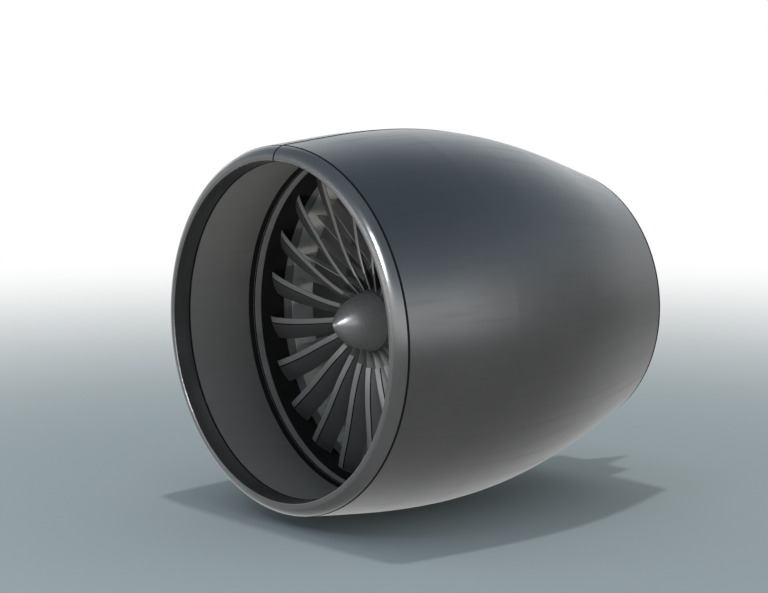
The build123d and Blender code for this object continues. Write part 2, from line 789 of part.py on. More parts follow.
# Booster case, with the splitter's nose in front and rows of vanes inside
with BuildPart() as booster_case:
    ring([(splitter_nose_station, splitter_nose_radius), (inner_ring_start - seat, inner_ring_outer),
          (inner_ring_start - seat, inner_ring_radius - seat), (inner_ring_end, inner_ring_radius - seat),
          (inner_ring_end, booster_case_radius),
          (splitter_nose_station + booster_skin, booster_case_radius)])
    for station in booster_stations[:-1]:
        blade_row(station + booster_row_pitch / 2, booster_rim_radius + tip_gap,
                  booster_case_radius + 2 * tip_gap, booster_blade_count, booster_chord,
                  row_blade_thickness, stator_stagger)

booster_case.part.label = "booster_case"
export_step(booster_case.part, "parts/booster_case.step")

# Frame hub: the two walls of the duct to the compressor, its struts and the front bearings' housing
duct_top = [(inner_ring_end, booster_case_radius), (hub_duct_end, compressor_front_tip)]
duct_floor = [(inner_ring_end, booster_rim_radius), (hub_duct_end, compressor_front_radius)]
bite = hub_duct_wall / 2
front_housing = front_bearing_radius + bearing_housing_wall
high_housing = high_bearing_radius + bearing_housing_wall
high_bearing_end = high_bearing_station + high_bearing_length
web_end = hub_web_station + hub_web
with BuildPart() as frame_hub:
    blade_row((inner_ring_end + hub_duct_end) / 2, compressor_front_radius, booster_case_radius,
              hub_strut_count, hub_strut_chord, hub_strut_thickness, 0)
    ring([*moved(duct_top, bite), *moved(reversed(duct_floor), -bite)], mode=Mode.INTERSECT)
    ring([*duct_top, (hub_duct_end, compressor_front_tip + hub_duct_wall),
          (core_front, along(*duct_top, core_front) + hub_duct_wall), (core_front, inner_ring_outer),
          (inner_ring_end, inner_ring_outer)])
    ring([*duct_floor, (hub_duct_end, compressor_front_radius - hub_web),
          (web_end, along(*duct_floor, web_end) - hub_web), (web_end, front_housing),
          (high_bearing_end, high_housing), (high_bearing_end, high_bearing_radius),
          (high_bearing_station, high_bearing_radius),
          (high_bearing_station - hub_web, front_bearing_radius),
          (front_bearing_station, front_bearing_radius), (front_bearing_station, front_housing),
          (hub_web_station, front_housing), (hub_web_station, along(*duct_floor, hub_web_station) - hub_web),
          (inner_ring_end, booster_rim_radius - hub_web)])

frame_hub.part.label = "frame_hub"
export_step(frame_hub.part, "parts/frame_hub.step")

# Compressor rotor: a drum with its front journal and rows of blades
compressor_rows = [compressor_first_row + compressor_row_pitch * i for i in range(compressor_row_count)]
drum_front = compressor_start + compressor_web
drum_rear = compressor_end - compressor_web
with BuildPart() as compressor_rotor:
    ring([(high_bearing_station, high_bore_radius), (drum_front, high_bore_radius),
          (drum_front, along(*drum_line, drum_front) - compressor_skin),
          (drum_rear, along(*drum_line, drum_rear) - compressor_skin), (drum_rear, high_bore_radius),
          (compressor_end, high_bore_radius), *reversed(drum_line), (compressor_start, high_journal_radius),
          (high_bearing_station, high_journal_radius)])
    for station in compressor_rows:
        blade_row(station, along(*drum_line, station) - compressor_skin / 2,
                  along(*compressor_tips, station), compressor_blade_count, compressor_chord,
                  row_blade_thickness, rotor_stagger)

compressor_rotor.part.label = "compressor_rotor"
export_step(compressor_rotor.part, "parts/compressor_rotor.step")

# Compressor case, with its rows of vanes
case_line = [(hub_duct_end, compressor_front_tip + tip_gap), (compressor_end, compressor_rear_tip + tip_gap)]
case_skin = moved(case_line, core_case_wall)
flange_front = hub_duct_end + core_flange_thickness
flange_rear = compressor_end - core_flange_thickness
with BuildPart() as compressor_case:
    ring([*case_line, (compressor_end, case_skin[1][1] + core_flange_height),
          (flange_rear, case_skin[1][1] + core_flange_height), (flange_rear, along(*case_skin, flange_rear)),
          (flange_front, along(*case_skin, flange_front)),
          (flange_front, case_skin[0][1] + core_flange_height),
          (hub_duct_end, case_skin[0][1] + core_flange_height)])
    for station in compressor_rows:
        vane_station = station + compressor_row_pitch / 2
        blade_row(vane_station, along(*drum_line, vane_station) + 2 * tip_gap,
                  along(*case_skin, vane_station) - core_case_wall / 2, compressor_blade_count,
                  compressor_chord, row_blade_thickness, stator_stagger)

compressor_case.part.label = "compressor_case"
export_step(compressor_case.part, "parts/compressor_case.step")

# Combustor case and the fuel nozzles on it
case_top = combustor_case_radius + core_case_wall
flange_top = case_top + core_flange_height
nozzle_clocks = [360 / fuel_nozzle_count * i for i in range(fuel_nozzle_count)]
with BuildPart() as combustor_case:
    ring([(compressor_end, case_line[1][1]),
          (combustor_case_station - core_flange_thickness, combustor_case_radius),
          (combustor_case_end, combustor_case_radius), (combustor_case_end, flange_top),
          (combustor_case_end - core_flange_thickness, flange_top),
          (combustor_case_end - core_flange_thickness, case_top),
          (fuel_nozzle_station - fuel_pad / 2, case_top),
          (compressor_end + core_flange_thickness, case_skin[1][1] + core_flange_height),
          (compressor_end, case_skin[1][1] + core_flange_height)])
    with BuildSketch(*[tangent(fuel_nozzle_station, combustor_outer_radius, clock)
                       for clock in nozzle_clocks]):
        Rectangle(fuel_stem_length + 2 * seat, fuel_stem_width + 2 * seat)
    extrude(amount=2 * (case_top - combustor_outer_radius), mode=Mode.SUBTRACT)

combustor_case.part.label = "combustor_case"
export_step(combustor_case.part, "parts/combustor_case.step")

fuel_tip_line = (combustor_outer_radius + combustor_inner_radius) / 2
with BuildPart() as fuel_nozzles:
    with BuildSketch(*[tangent(fuel_nozzle_station, fuel_tip_line, clock) for clock in nozzle_clocks]):
        Rectangle(fuel_stem_length, fuel_stem_width)
    extrude(amount=case_top + fuel_pad_thickness - fuel_tip_line)
    with BuildSketch(*[tangent(fuel_nozzle_station, case_top + seat, clock) for clock in nozzle_clocks]):
        Rectangle(fuel_pad, fuel_pad)
    extrude(amount=fuel_pad_thickness)
    with BuildSketch(cross_section(fuel_nozzle_station - fuel_stem_length / 2)):
        with PolarLocations(fuel_tip_line, fuel_nozzle_count, start_angle=90):
            RegularPolygon(fuel_tip_radius, 6)
    extrude(amount=fuel_tip_reach)

fuel_nozzles.part.label = "fuel_nozzles"
export_step(fuel_nozzles.part, "parts/fuel_nozzles.step")

# Combustor liner: a ring-shaped chamber, open to the turbine, with a hole for each fuel nozzle
liner_rear = combustor_case_end - seat
with BuildPart() as combustor_liner:
    ring([(combustor_front, combustor_inner_radius), (liner_rear, combustor_inner_radius),
          (liner_rear, combustor_inner_radius + combustor_sheet),
          (combustor_front + combustor_sheet, combustor_inner_radius + combustor_sheet),
          (combustor_front + combustor_sheet, combustor_outer_radius - combustor_sheet),
          (liner_rear, combustor_outer_radius - combustor_sheet), (liner_rear, combustor_case_radius - seat),
          (liner_rear - combustor_flange, combustor_case_radius - seat),
          (liner_rear - combustor_flange, combustor_outer_radius),
          (combustor_front, combustor_outer_radius)])
    with BuildSketch(cross_section(combustor_front)):
        with PolarLocations(fuel_tip_line, fuel_nozzle_count, start_angle=90):
            RegularPolygon(fuel_tip_radius + seat, 6)
    extrude(amount=combustor_sheet, mode=Mode.SUBTRACT)

combustor_liner.part.label = "combustor_liner"
export_step(combustor_liner.part, "parts/combustor_liner.step")

# High shaft, flanged to the compressor rotor and to the high turbine
with BuildPart() as high_shaft:
    ring([(compressor_end, high_bore_radius), (high_turbine_start, high_bore_radius),
          (high_turbine_start, shaft_flange_radius),
          (high_turbine_start - shaft_flange, shaft_flange_radius),
          (high_turbine_start - shaft_flange, high_journal_radius),
          (compressor_end + shaft_flange, high_journal_radius),
          (compressor_end + shaft_flange, shaft_flange_radius), (compressor_end, shaft_flange_radius)])

high_shaft.part.label = "high_shaft"
export_step(high_shaft.part, "parts/high_shaft.step")

# High turbine: one disc with its blades and the hub that runs on the bearing between the shafts
high_turbine_end = high_turbine_start + high_turbine_width
rim_inner = high_turbine_rim - high_turbine_rim_depth
hub_bore = high_journal_radius + running
hub_end = between_bearing_station + between_bearing_length
with BuildPart() as high_turbine:
    ring([(high_turbine_start, high_bore_radius), (high_turbine_end, high_bore_radius),
          (between_bearing_station - seat, hub_bore), (hub_end, hub_bore),
          (hub_end, hub_bore + high_turbine_hub_wall),
          (high_turbine_end, shaft_flange_radius), (high_turbine_end - shaft_flange, rim_inner),
          (high_turbine_end, rim_inner), (high_turbine_end, high_turbine_rim),
          (high_turbine_start, high_turbine_rim), (high_turbine_start, rim_inner),
          (high_turbine_start + shaft_flange, rim_inner), (high_turbine_start, shaft_flange_radius)])
    blade_row(high_turbine_start + high_turbine_width / 2, high_turbine_rim - high_turbine_rim_depth / 2,
              high_turbine_tip, turbine_blade_count, turbine_chord, row_blade_thickness, turbine_stagger)

high_turbine.part.label = "high_turbine"
export_step(high_turbine.part, "parts/high_turbine.step")

# Low turbine: a drum on the low shaft with rows of blades
turbine_rows = [low_turbine_first_row + low_turbine_row_pitch * i for i in range(low_turbine_row_count)]
turbine_inside = moved(turbine_rim, -low_turbine_skin)
turbine_web_end = low_turbine_web_station + low_turbine_web
with BuildPart() as low_turbine:
    ring([*turbine_rim, turbine_inside[1], (turbine_web_end, along(*turbine_inside, turbine_web_end)),
          (turbine_web_end, low_shaft_radius), (low_turbine_web_station, low_shaft_radius),
          (low_turbine_web_station, along(*turbine_inside, low_turbine_web_station)), turbine_inside[0]])
    for station in turbine_rows:
        blade_row(station, along(*turbine_rim, station) - low_turbine_skin / 2,
                  along(*turbine_tips, station - turbine_chord / 2), turbine_blade_count, turbine_chord,
                  row_blade_thickness, turbine_stagger)

low_turbine.part.label = "low_turbine"
export_step(low_turbine.part, "parts/low_turbine.step")

# Turbine case around both turbines, with the vanes in front of each row
high_case_radius = high_turbine_tip + tip_gap
turbine_line = moved([*turbine_tips, (rear_frame_start, along(*turbine_tips, rear_frame_start))], tip_gap)
turbine_flange = rear_frame_bore + core_flange_height
turbine_flange_start = rear_frame_start - core_flange_thickness
with BuildPart() as turbine_case:
    ring([(combustor_case_end, high_case_radius), (turbine_case_knee, high_case_radius), turbine_line[0],
          turbine_line[2], (rear_frame_start, turbine_flange), (turbine_flange_start, turbine_flange),
          (turbine_flange_start, along(*turbine_line[:2], turbine_flange_start) + core_case_wall),
          (low_turbine_start, turbine_line[0][1] + core_case_wall),
          (turbine_case_knee, high_case_radius + core_case_wall),
          (combustor_case_end + core_flange_thickness, high_case_radius + core_case_wall),
          (combustor_case_end + core_flange_thickness, flange_top), (combustor_case_end, flange_top)])
    blade_row(nozzle_row_station, nozzle_row_inner_radius, high_case_radius + core_case_wall / 2,
              turbine_blade_count, nozzle_row_chord, row_blade_thickness, turbine_stagger)
    for station in turbine_rows[1:]:
        vane_station = station - low_turbine_row_pitch / 2
        blade_row(vane_station, along(*turbine_rim, vane_station) + 2 * tip_gap,
                  along(*turbine_line[:2], vane_station) + core_case_wall / 2, turbine_blade_count,
                  turbine_chord, row_blade_thickness, -turbine_stagger)

turbine_case.part.label = "turbine_case"
export_step(turbine_case.part, "parts/turbine_case.step")

# Accessory gearbox, closed, under the compressor case
gearbox_floor = along(*case_skin, gearbox_start) + seat
with BuildPart() as accessory_gearbox:
    ring([(gearbox_start, gearbox_floor), (gearbox_end, gearbox_floor),
          (gearbox_end, gearbox_floor + gearbox_depth),
          (gearbox_start, gearbox_floor + gearbox_depth)], arc=gearbox_arc, clock=180 + gearbox_arc / 2)

accessory_gearbox.part.label = "accessory_gearbox"
export_step(accessory_gearbox.part, "parts/accessory_gearbox.step")


# Long cowl: a fixed half with an opening for the pylon, and a door on the near side
def cowl_half(clock):
    """Half of the cowl's skin, from a clock angle round to the opposite one, short of the split."""
    skin_ring(cowl_outer, cowl_inner, cowl_start_slope, arc=180, clock=clock)
    with BuildSketch(meridian()) as split_plane:
        Rectangle(4 * cowl_end_station, 4 * seam_radius)
    extrude(split_plane.sketch, amount=split_gap / 2, both=True, mode=Mode.SUBTRACT)


with BuildPart() as inboard_cowl:
    cowl_half(180)
    with BuildSketch(tangent((aperture_start + aperture_end) / 2, cowl_end_radius, 90)):
        RectangleRounded(aperture_end - aperture_start, aperture_height, aperture_corner)
    extrude(amount=far_out - cowl_end_radius, mode=Mode.SUBTRACT)

inboard_cowl.part.label = "inboard_cowl"
export_step(inboard_cowl.part, "parts/inboard_cowl.step")

with BuildPart() as outboard_door:
    cowl_half(0)

outboard_door.part.label = "outboard_door"
export_step(outboard_door.part, "parts/outboard_door.step")

# Hinge arms on the door, bent to pass round the edge of the fixed cowl
pin_place = (hinge_side, hinge_height)
with BuildPart() as hinge_arms:
    with BuildSketch(*[cross_section(station - hinge_lug / 2) for station in hinge_stations]):
        with BuildLine():
            FilletPolyline(*[(hinge_side + y, hinge_height + z) for y, z in arm_path], radius=arm_bend)
        trace(line_width=arm_width)
        with Locations(pin_place):
            Polygon((arm_pad_end, arm_pad_base), (arm_pad_start, arm_pad_base),
                    (arm_pad_start, arm_path[-1][1]), (arm_pad_end, arm_path[-1][1]), align=None)
            Circle(hinge_knuckle_radius)
            Circle(hinge_pin_radius + running, mode=Mode.SUBTRACT)
    extrude(amount=hinge_lug)
    trim_to_cowl()

hinge_arms.part.label = "hinge_arms"
export_step(hinge_arms.part, "parts/hinge_arms.step")

# Hinge brackets: two ears on a foot, on the fan case and on the guide vane ring
bracket_side = hinge_lug / 2 + seat + hinge_ear
with BuildPart() as hinge_brackets:
    for station in hinge_stations:
        foot = case_outer if station < case_rear_station else vane_ring_outer
        with BuildSketch(cross_section(station - bracket_side),
                         cross_section(station + bracket_side - hinge_ear)):
            with Locations(pin_place):
                Circle(hinge_knuckle_radius)
                Polygon((-hinge_knuckle_radius, 0), (hinge_knuckle_radius, 0),
                        (hinge_foot_half_width, foot - hinge_height),
                        (-hinge_foot_half_width, foot - hinge_height),
                        align=None)
                Circle(hinge_pin_radius + running, mode=Mode.SUBTRACT)
        extrude(amount=hinge_ear)
        with BuildSketch(cross_section(station - bracket_side)):
            with Locations((hinge_side, foot)):
                Rectangle(2 * hinge_foot_half_width, 2 * hinge_foot)
        extrude(amount=2 * bracket_side)
        with BuildSketch(cross_section(station - bracket_side)):
            Circle(foot + seat)
        extrude(amount=2 * bracket_side, mode=Mode.SUBTRACT)

hinge_brackets.part.label = "hinge_brackets"
export_step(hinge_brackets.part, "parts/hinge_brackets.step")

with BuildPart() as hinge_pins:
    with BuildSketch(*[cross_section(station - bracket_side) for station in hinge_stations]):
        with Locations(pin_place):
            Circle(hinge_pin_radius)
    extrude(amount=2 * bracket_side)

hinge_pins.part.label = "hinge_pins"
export_step(hinge_pins.part, "parts/hinge_pins.step")


# Mounts: drilled blocks, seated on the guide vane ring and on the bypass duct
def mount(station, radius, length, width, pitch_x, pitch_z):
    """A mount block under its face, with four blind holes."""
    with BuildSketch(tangent(station, radius, 90)) as face:
        RectangleRounded(length, width, mount_corner)
    extrude(face.sketch, amount=-mount_block)
    with BuildSketch(tangent(station, radius, 90)) as holes:
        with GridLocations(pitch_x, pitch_z, 2, 2):
            Circle(mount_hole_radius)
    extrude(holes.sketch, amount=-mount_hole_depth, mode=Mode.SUBTRACT)


with BuildPart() as front_mount:
    mount(front_mount_station, front_mount_radius, front_mount_length, front_mount_width, front_hole_pitch_x,
          front_hole_pitch_z)
    with BuildSketch(tangent(front_mount_station, front_mount_radius - mount_plate, 90)):
        Rectangle(2 * front_mount_length, mount_arch_width)
    extrude(amount=-mount_block, mode=Mode.SUBTRACT)
    with BuildSketch(cross_section(front_mount_station - front_mount_length)):
        Circle(vane_ring_outer + seat)
    extrude(amount=2 * front_mount_length, mode=Mode.SUBTRACT)

front_mount.part.label = "front_mount"
export_step(front_mount.part, "parts/front_mount.step")

with BuildPart() as rear_mount:
    mount(rear_mount_station, rear_mount_radius, rear_mount_length, rear_mount_width, rear_hole_pitch_x,
          rear_hole_pitch_z)
    ring([(vane_rear_station, 0), *moved(duct_outer, seat), (duct_end_station, 0)], mode=Mode.SUBTRACT)

rear_mount.part.label = "rear_mount"
export_step(rear_mount.part, "parts/rear_mount.step")
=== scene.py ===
import json
from math import asin, atan, atan2, cos, hypot, pi, radians, sin

import bmesh
import bpy
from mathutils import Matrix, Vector
from mathutils.bvhtree import BVHTree


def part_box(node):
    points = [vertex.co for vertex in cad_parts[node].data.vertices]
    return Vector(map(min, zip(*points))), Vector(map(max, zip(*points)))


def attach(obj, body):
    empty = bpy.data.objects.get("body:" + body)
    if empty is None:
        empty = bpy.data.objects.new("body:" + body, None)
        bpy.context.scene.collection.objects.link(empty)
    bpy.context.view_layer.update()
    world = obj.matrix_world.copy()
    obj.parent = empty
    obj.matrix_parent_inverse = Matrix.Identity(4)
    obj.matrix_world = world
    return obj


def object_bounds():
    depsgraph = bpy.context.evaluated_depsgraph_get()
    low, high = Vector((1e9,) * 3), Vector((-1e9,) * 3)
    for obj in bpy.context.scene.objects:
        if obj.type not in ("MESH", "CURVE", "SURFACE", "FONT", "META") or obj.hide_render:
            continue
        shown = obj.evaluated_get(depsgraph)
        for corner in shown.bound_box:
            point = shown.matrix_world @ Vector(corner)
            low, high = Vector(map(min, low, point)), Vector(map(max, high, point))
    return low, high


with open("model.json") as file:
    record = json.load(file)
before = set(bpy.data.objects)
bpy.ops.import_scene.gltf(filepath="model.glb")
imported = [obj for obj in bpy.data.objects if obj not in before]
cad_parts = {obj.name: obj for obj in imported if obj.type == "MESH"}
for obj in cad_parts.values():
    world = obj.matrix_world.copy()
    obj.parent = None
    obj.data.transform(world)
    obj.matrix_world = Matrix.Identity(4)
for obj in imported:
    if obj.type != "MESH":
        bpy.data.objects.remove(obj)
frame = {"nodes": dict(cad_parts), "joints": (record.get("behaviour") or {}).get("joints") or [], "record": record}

cad_box = [list(corner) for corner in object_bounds()]
nodes = frame["nodes"]

# Places along the engine, in metres. A station runs rearwards from the seam behind the inlet lip, and
# a clock angle starts at the top and grows towards the pylon, +Y. A pair is a station and a radius.
shaft = Vector(next(joint for joint in frame["joints"] if joint["name"] == "fan_spin")["pos_m"])
disc_front = 0.512
engine_start = Vector((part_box("fan_disc")[0].x - disc_front, shaft.y, shaft.z))
seam_radius = 0.858
inner_seam = (0.029, 0.783)
lip_nose = (-0.062, 0.795)
lip_outer_bend, lip_inner_bend = 0.056, 0.0065
barrel_end = 0.449
land_front = 0.462
groove_radius = 0.821
cowl_line = [(0.003, 0.8583), (0.309, 0.891), (0.619, 0.909), (0.928, 0.8965), (1.237, 0.8465),
             (1.546, 0.762), (1.855, 0.658)]
cowl_start_slope = 0.115
cowl_end = cowl_line[-1][0]
split_gap = 0.007
blade_count = 22
first_blade_clock = 94.3
blade_tip = 0.806
# One row a section of a blade: radius, station of the leading edge, clock of the middle, chord, stagger
# from the shaft line, thickness
blade_sections = [(0.140, 0.526, -6.0, 0.096, 14, 0.015), (0.257, 0.516, 4.7, 0.100, 40, 0.014),
                  (0.400, 0.514, 5.5, 0.105, 50, 0.0125), (0.560, 0.528, 5.5, 0.112, 60, 0.011),
                  (0.700, 0.539, 5.0, 0.118, 67, 0.0095), (0.822, 0.560, 4.1, 0.124, 70, 0.008)]


def place(station, radius, clock):
    """The place of a station, a radius and a clock angle."""
    angle = radians(clock)
    return engine_start + Vector((station, radius * sin(angle), radius * cos(angle)))


# Shader tools
def link(tree, source, target):
    tree.links.new(source, target)


def node(tree, kind, values=None, **settings):
    """A shader node with its settings and the values or links of its inputs."""
    made = tree.nodes.new(kind)
    for name, value in settings.items():
        setattr(made, name, value)
    for key, value in (values or {}).items():
        socket = made.inputs[key]
        if isinstance(value, bpy.types.NodeSocket):
            link(tree, value, socket)
        else:
            socket.default_value = value
    return made


def maths(tree, operation, first, second=0.0, clamp=False):
    made = node(tree, "ShaderNodeMath", {0: first, 1: second}, operation=operation, use_clamp=clamp)
    return made.outputs[0]


def blend_colour(tree, share, first, second, blend_type="MIX"):
    made = node(tree, "ShaderNodeMix", {0: share, 6: first, 7: second}, data_type="RGBA",
                blend_type=blend_type)
    return made.outputs[2]


def spread(tree, value, low, high, from_low=0.0, from_high=1.0, steps="LINEAR"):
    """A value that runs from low to high while the given value runs over its range."""
    made = node(tree, "ShaderNodeMapRange",
                {"Value": value, "From Min": from_low, "From Max": from_high, "To Min": low, "To Max": high},
                interpolation_type=steps)
    return made.outputs[0]


def fill_ramp(ramp, stops):
    """Give a new colour ramp its stops, each with a place and a colour."""
    for i, (at, tint) in enumerate(stops):
        stop = ramp.color_ramp.elements[i] if i < 2 else ramp.color_ramp.elements.new(at)
        stop.position = at
        stop.color = (*tint, 1.0)


def new_group(name, inputs, outputs):
    """A shader node group with named inputs and outputs."""
    group = bpy.data.node_groups.new(name, "ShaderNodeTree")
    for label, kind, default in inputs:
        socket = group.interface.new_socket(name=label, in_out="INPUT", socket_type=kind)
        if default is not None:
            socket.default_value = default
    for label, kind in outputs:
        group.interface.new_socket(name=label, in_out="OUTPUT", socket_type=kind)
    return group, group.nodes.new("NodeGroupInput"), group.nodes.new("NodeGroupOutput")


number, colour, vector = "NodeSocketFloat", "NodeSocketColor", "NodeSocketVector"


def engine_coordinates_group():
    """Station, radius and clock of a point, and a vector that is stretched round the shaft line."""
    group, _, outside = new_group("engine_coordinates", [], [
        ("Station", number), ("Radius", number), ("Clock", number), ("Turned", vector)])
    coordinates = node(group, "ShaderNodeTexCoord")
    local = node(group, "ShaderNodeVectorMath", {0: coordinates.outputs["Object"], 1: engine_start},
                 operation="SUBTRACT")
    split = node(group, "ShaderNodeSeparateXYZ", {0: local.outputs[0]})
    across, up = split.outputs["Y"], split.outputs["Z"]
    radius = maths(group, "SQRT", maths(group, "ADD", maths(group, "MULTIPLY", across, across),
                                        maths(group, "MULTIPLY", up, up)))
    clock = maths(group, "DIVIDE", maths(group, "ARCTAN2", across, up), 2 * pi)
    turned = node(group, "ShaderNodeCombineXYZ", {"X": split.outputs["X"], "Y": radius,
                                                  "Z": maths(group, "MULTIPLY", clock, 0.05)})
    link(group, split.outputs["X"], outside.inputs["Station"])
    link(group, radius, outside.inputs["Radius"])
    link(group, clock, outside.inputs["Clock"])
    link(group, turned.outputs[0], outside.inputs["Turned"])
    return group


def brushed_grain_group():
    """Fine turned or drawn lines along a stretched vector."""
    group, inside, outside = new_group(
        "brushed_grain", [("Vector", vector, None), ("Lines per metre", number, 700.0)],
        [("Lines", number)])
    fine = node(group, "ShaderNodeTexNoise", {"Vector": inside.outputs["Vector"],
                                              "Scale": inside.outputs["Lines per metre"],
                                              "Detail": 3.0, "Roughness": 0.6})
    link(group, fine.outputs["Fac"], outside.inputs["Lines"])
    return group


def cloudy_tone_group():
    """Soft patches that are lighter and darker, in two sizes."""
    group, inside, outside = new_group("cloudy_tone", [("Patches per metre", number, 3.0)],
                                       [("Tone", number)])
    coordinates = node(group, "ShaderNodeTexCoord")
    broad = node(group, "ShaderNodeTexNoise", {"Vector": coordinates.outputs["Object"],
                                               "Scale": inside.outputs["Patches per metre"], "Detail": 4.0})
    small = node(group, "ShaderNodeTexNoise",
                 {"Vector": coordinates.outputs["Object"], "Detail": 6.0,
                  "Scale": maths(group, "MULTIPLY", inside.outputs["Patches per metre"], 9.0)})
    tone = maths(group, "ADD", maths(group, "MULTIPLY", broad.outputs["Fac"], 0.7),
                 maths(group, "MULTIPLY", small.outputs["Fac"], 0.3))
    link(group, tone, outside.inputs["Tone"])
    return group


def flow_streaks_group():
    """Faint streaks of dirt that the air draws along the engine."""
    group, inside, outside = new_group("flow_streaks", [("Streaks round", number, 60.0)], [("Mask", number)])
    place_on = node(group, "ShaderNodeGroup", node_tree=bpy.data.node_groups["engine_coordinates"])
    angle = maths(group, "MULTIPLY", place_on.outputs["Clock"], inside.outputs["Streaks round"])
    along = node(group, "ShaderNodeCombineXYZ",
                 {"X": maths(group, "MULTIPLY", place_on.outputs["Station"], 0.9), "Y": angle})
    streak = node(group, "ShaderNodeTexNoise", {"Vector": along.outputs[0], "Scale": 1.6, "Detail": 5.0})
    mask = spread(group, streak.outputs["Fac"], 0.0, 1.0, 0.5, 0.75, "SMOOTHSTEP")
    link(group, mask, outside.inputs["Mask"])
    return group


def worn_edge_group():
    """A broken band of wear where a value comes close to an edge."""
    group, inside, outside = new_group(
        "worn_edge", [("Value", number, 0.0), ("Edge", number, 0.0), ("Width", number, 0.01),
                      ("Chips per metre", number, 60.0)], [("Mask", number)])
    coordinates = node(group, "ShaderNodeTexCoord")
    chips = node(group, "ShaderNodeTexNoise", {"Vector": coordinates.outputs["Object"],
                                               "Scale": inside.outputs["Chips per metre"], "Detail": 5.0})
    away = maths(group, "ABSOLUTE", maths(group, "SUBTRACT", inside.outputs["Value"], inside.outputs["Edge"]))
    share = maths(group, "DIVIDE", away, inside.outputs["Width"])
    broken = maths(group, "ADD", share, maths(group, "MULTIPLY", chips.outputs["Fac"], 1.2))
    link(group, spread(group, broken, 1.0, 0.0, 0.75, 1.15, "SMOOTHSTEP"), outside.inputs["Mask"])
    return group


def settled_dust_group():
    """Dust that settles on faces that look up."""
    group, inside, outside = new_group("settled_dust", [("Amount", number, 0.3)], [("Mask", number)])
    coordinates = node(group, "ShaderNodeTexCoord")
    facing = node(group, "ShaderNodeSeparateXYZ", {0: coordinates.outputs["Normal"]})
    cloud = node(group, "ShaderNodeTexNoise", {"Vector": coordinates.outputs["Object"], "Scale": 14.0,
                                               "Detail": 6.0})
    upward = spread(group, facing.outputs["Z"], 0.0, 1.0, 0.35, 1.0, "SMOOTHSTEP")
    mask = maths(group, "MULTIPLY", maths(group, "MULTIPLY", upward, cloud.outputs["Fac"]),
                 inside.outputs["Amount"])
    link(group, mask, outside.inputs["Mask"])
    return group


def heat_tint_group():
    """The straw, brown and blue that heat leaves on steel, from 0, cold, to 1, hot."""
    group, inside, outside = new_group("heat_tint", [("Heat", number, 0.5)], [("Color", colour)])
    ramp = node(group, "ShaderNodeValToRGB", {"Fac": inside.outputs["Heat"]})
    fill_ramp(ramp, [(0.0, (0.34, 0.33, 0.32)), (0.35, (0.36, 0.31, 0.24)), (0.6, (0.27, 0.19, 0.15)),
                     (0.8, (0.16, 0.15, 0.19)), (1.0, (0.2, 0.19, 0.18))])
    link(group, ramp.outputs["Color"], outside.inputs["Color"])
    return group


for build in (engine_coordinates_group, brushed_grain_group, cloudy_tone_group, flow_streaks_group,
              worn_edge_group, settled_dust_group, heat_tint_group):
    build()


class Finish:
    """One material: a Principled shader, with the shared effects placed in it by name."""

    def __init__(self, name, metallic, roughness):
        self.material = bpy.data.materials.new(name)
        self.material.use_nodes = True
        self.tree = self.material.node_tree
        self.shader = self.tree.nodes["Principled BSDF"]
        self.shader.inputs["Metallic"].default_value = metallic
        self.shader.inputs["Roughness"].default_value = roughness
        self.where = self.effect("engine_coordinates")

    def effect(self, name, **values):
        return node(self.tree, "ShaderNodeGroup", values, node_tree=bpy.data.node_groups[name])

    def base(self, socket):
        link(self.tree, socket, self.shader.inputs["Base Color"])

    def roughness(self, socket):
        link(self.tree, socket, self.shader.inputs["Roughness"])

    def relief(self, height, distance, strength):
        bump = node(self.tree, "ShaderNodeBump",
                    {"Height": height, "Distance": distance, "Strength": strength})
        link(self.tree, bump.outputs["Normal"], self.shader.inputs["Normal"])

    def fine_noise(self, scale, detail):
        """Even noise that is fixed to the piece."""
        coordinates = node(self.tree, "ShaderNodeTexCoord")
        return node(self.tree, "ShaderNodeTexNoise", {"Vector": coordinates.outputs["Object"], "Scale": scale,
                                                      "Detail": detail}).outputs["Fac"]


def shade(red, green=None, blue=None):
    return (red, red if green is None else green, red if blue is None else blue, 1.0)


def cowl_paint():
    """Dark metallic paint, with faint patches, streaks and chips along the rear edge."""
    finish = Finish("cowl_paint", 1.0, 0.3)
    tree = finish.tree
    tone = finish.effect("cloudy_tone", **{"Patches per metre": 2.2}).outputs["Tone"]
    streaks = finish.effect("flow_streaks", **{"Streaks round": 90.0}).outputs["Mask"]
    body = blend_colour(tree, tone, shade(0.165, 0.168, 0.172), shade(0.205, 0.208, 0.21))
    body = blend_colour(tree, maths(tree, "MULTIPLY", streaks, 0.12), body, shade(0.1, 0.097, 0.09))
    chipped = finish.effect("worn_edge", Value=finish.where.outputs["Station"], Edge=cowl_end, Width=0.012)
    body = blend_colour(tree, maths(tree, "MULTIPLY", chipped.outputs["Mask"], 0.5), body, shade(0.4))
    finish.base(body)
    finish.roughness(spread(tree, maths(tree, "ADD", tone, maths(tree, "MULTIPLY", streaks, 0.3)), 0.27, 0.37,
                            0.3, 0.9))
    finish.relief(finish.fine_noise(220.0, 2.0), 0.00004, 0.4)
    return finish.material


def lip_metal():
    """Bare polished metal, rubbed round the ring, with nicks along its nose."""
    finish = Finish("lip_metal", 0.88, 0.22)
    tree = finish.tree
    tone = finish.effect("cloudy_tone", **{"Patches per metre": 4.0}).outputs["Tone"]
    lines = finish.effect("brushed_grain", Vector=finish.where.outputs["Turned"],
                          **{"Lines per metre": 900.0}).outputs["Lines"]
    body = blend_colour(tree, tone, shade(0.18, 0.182, 0.185), shade(0.225, 0.227, 0.23))
    nicks = finish.effect("worn_edge", Value=finish.where.outputs["Station"], Edge=lip_nose[0], Width=0.01,
                          **{"Chips per metre": 140.0}).outputs["Mask"]
    body = blend_colour(tree, maths(tree, "MULTIPLY", nicks, 0.4), body, shade(0.45))
    finish.base(body)
    finish.roughness(spread(tree, lines, 0.17, 0.27))
    finish.relief(lines, 0.00002, 0.5)
    return finish.material


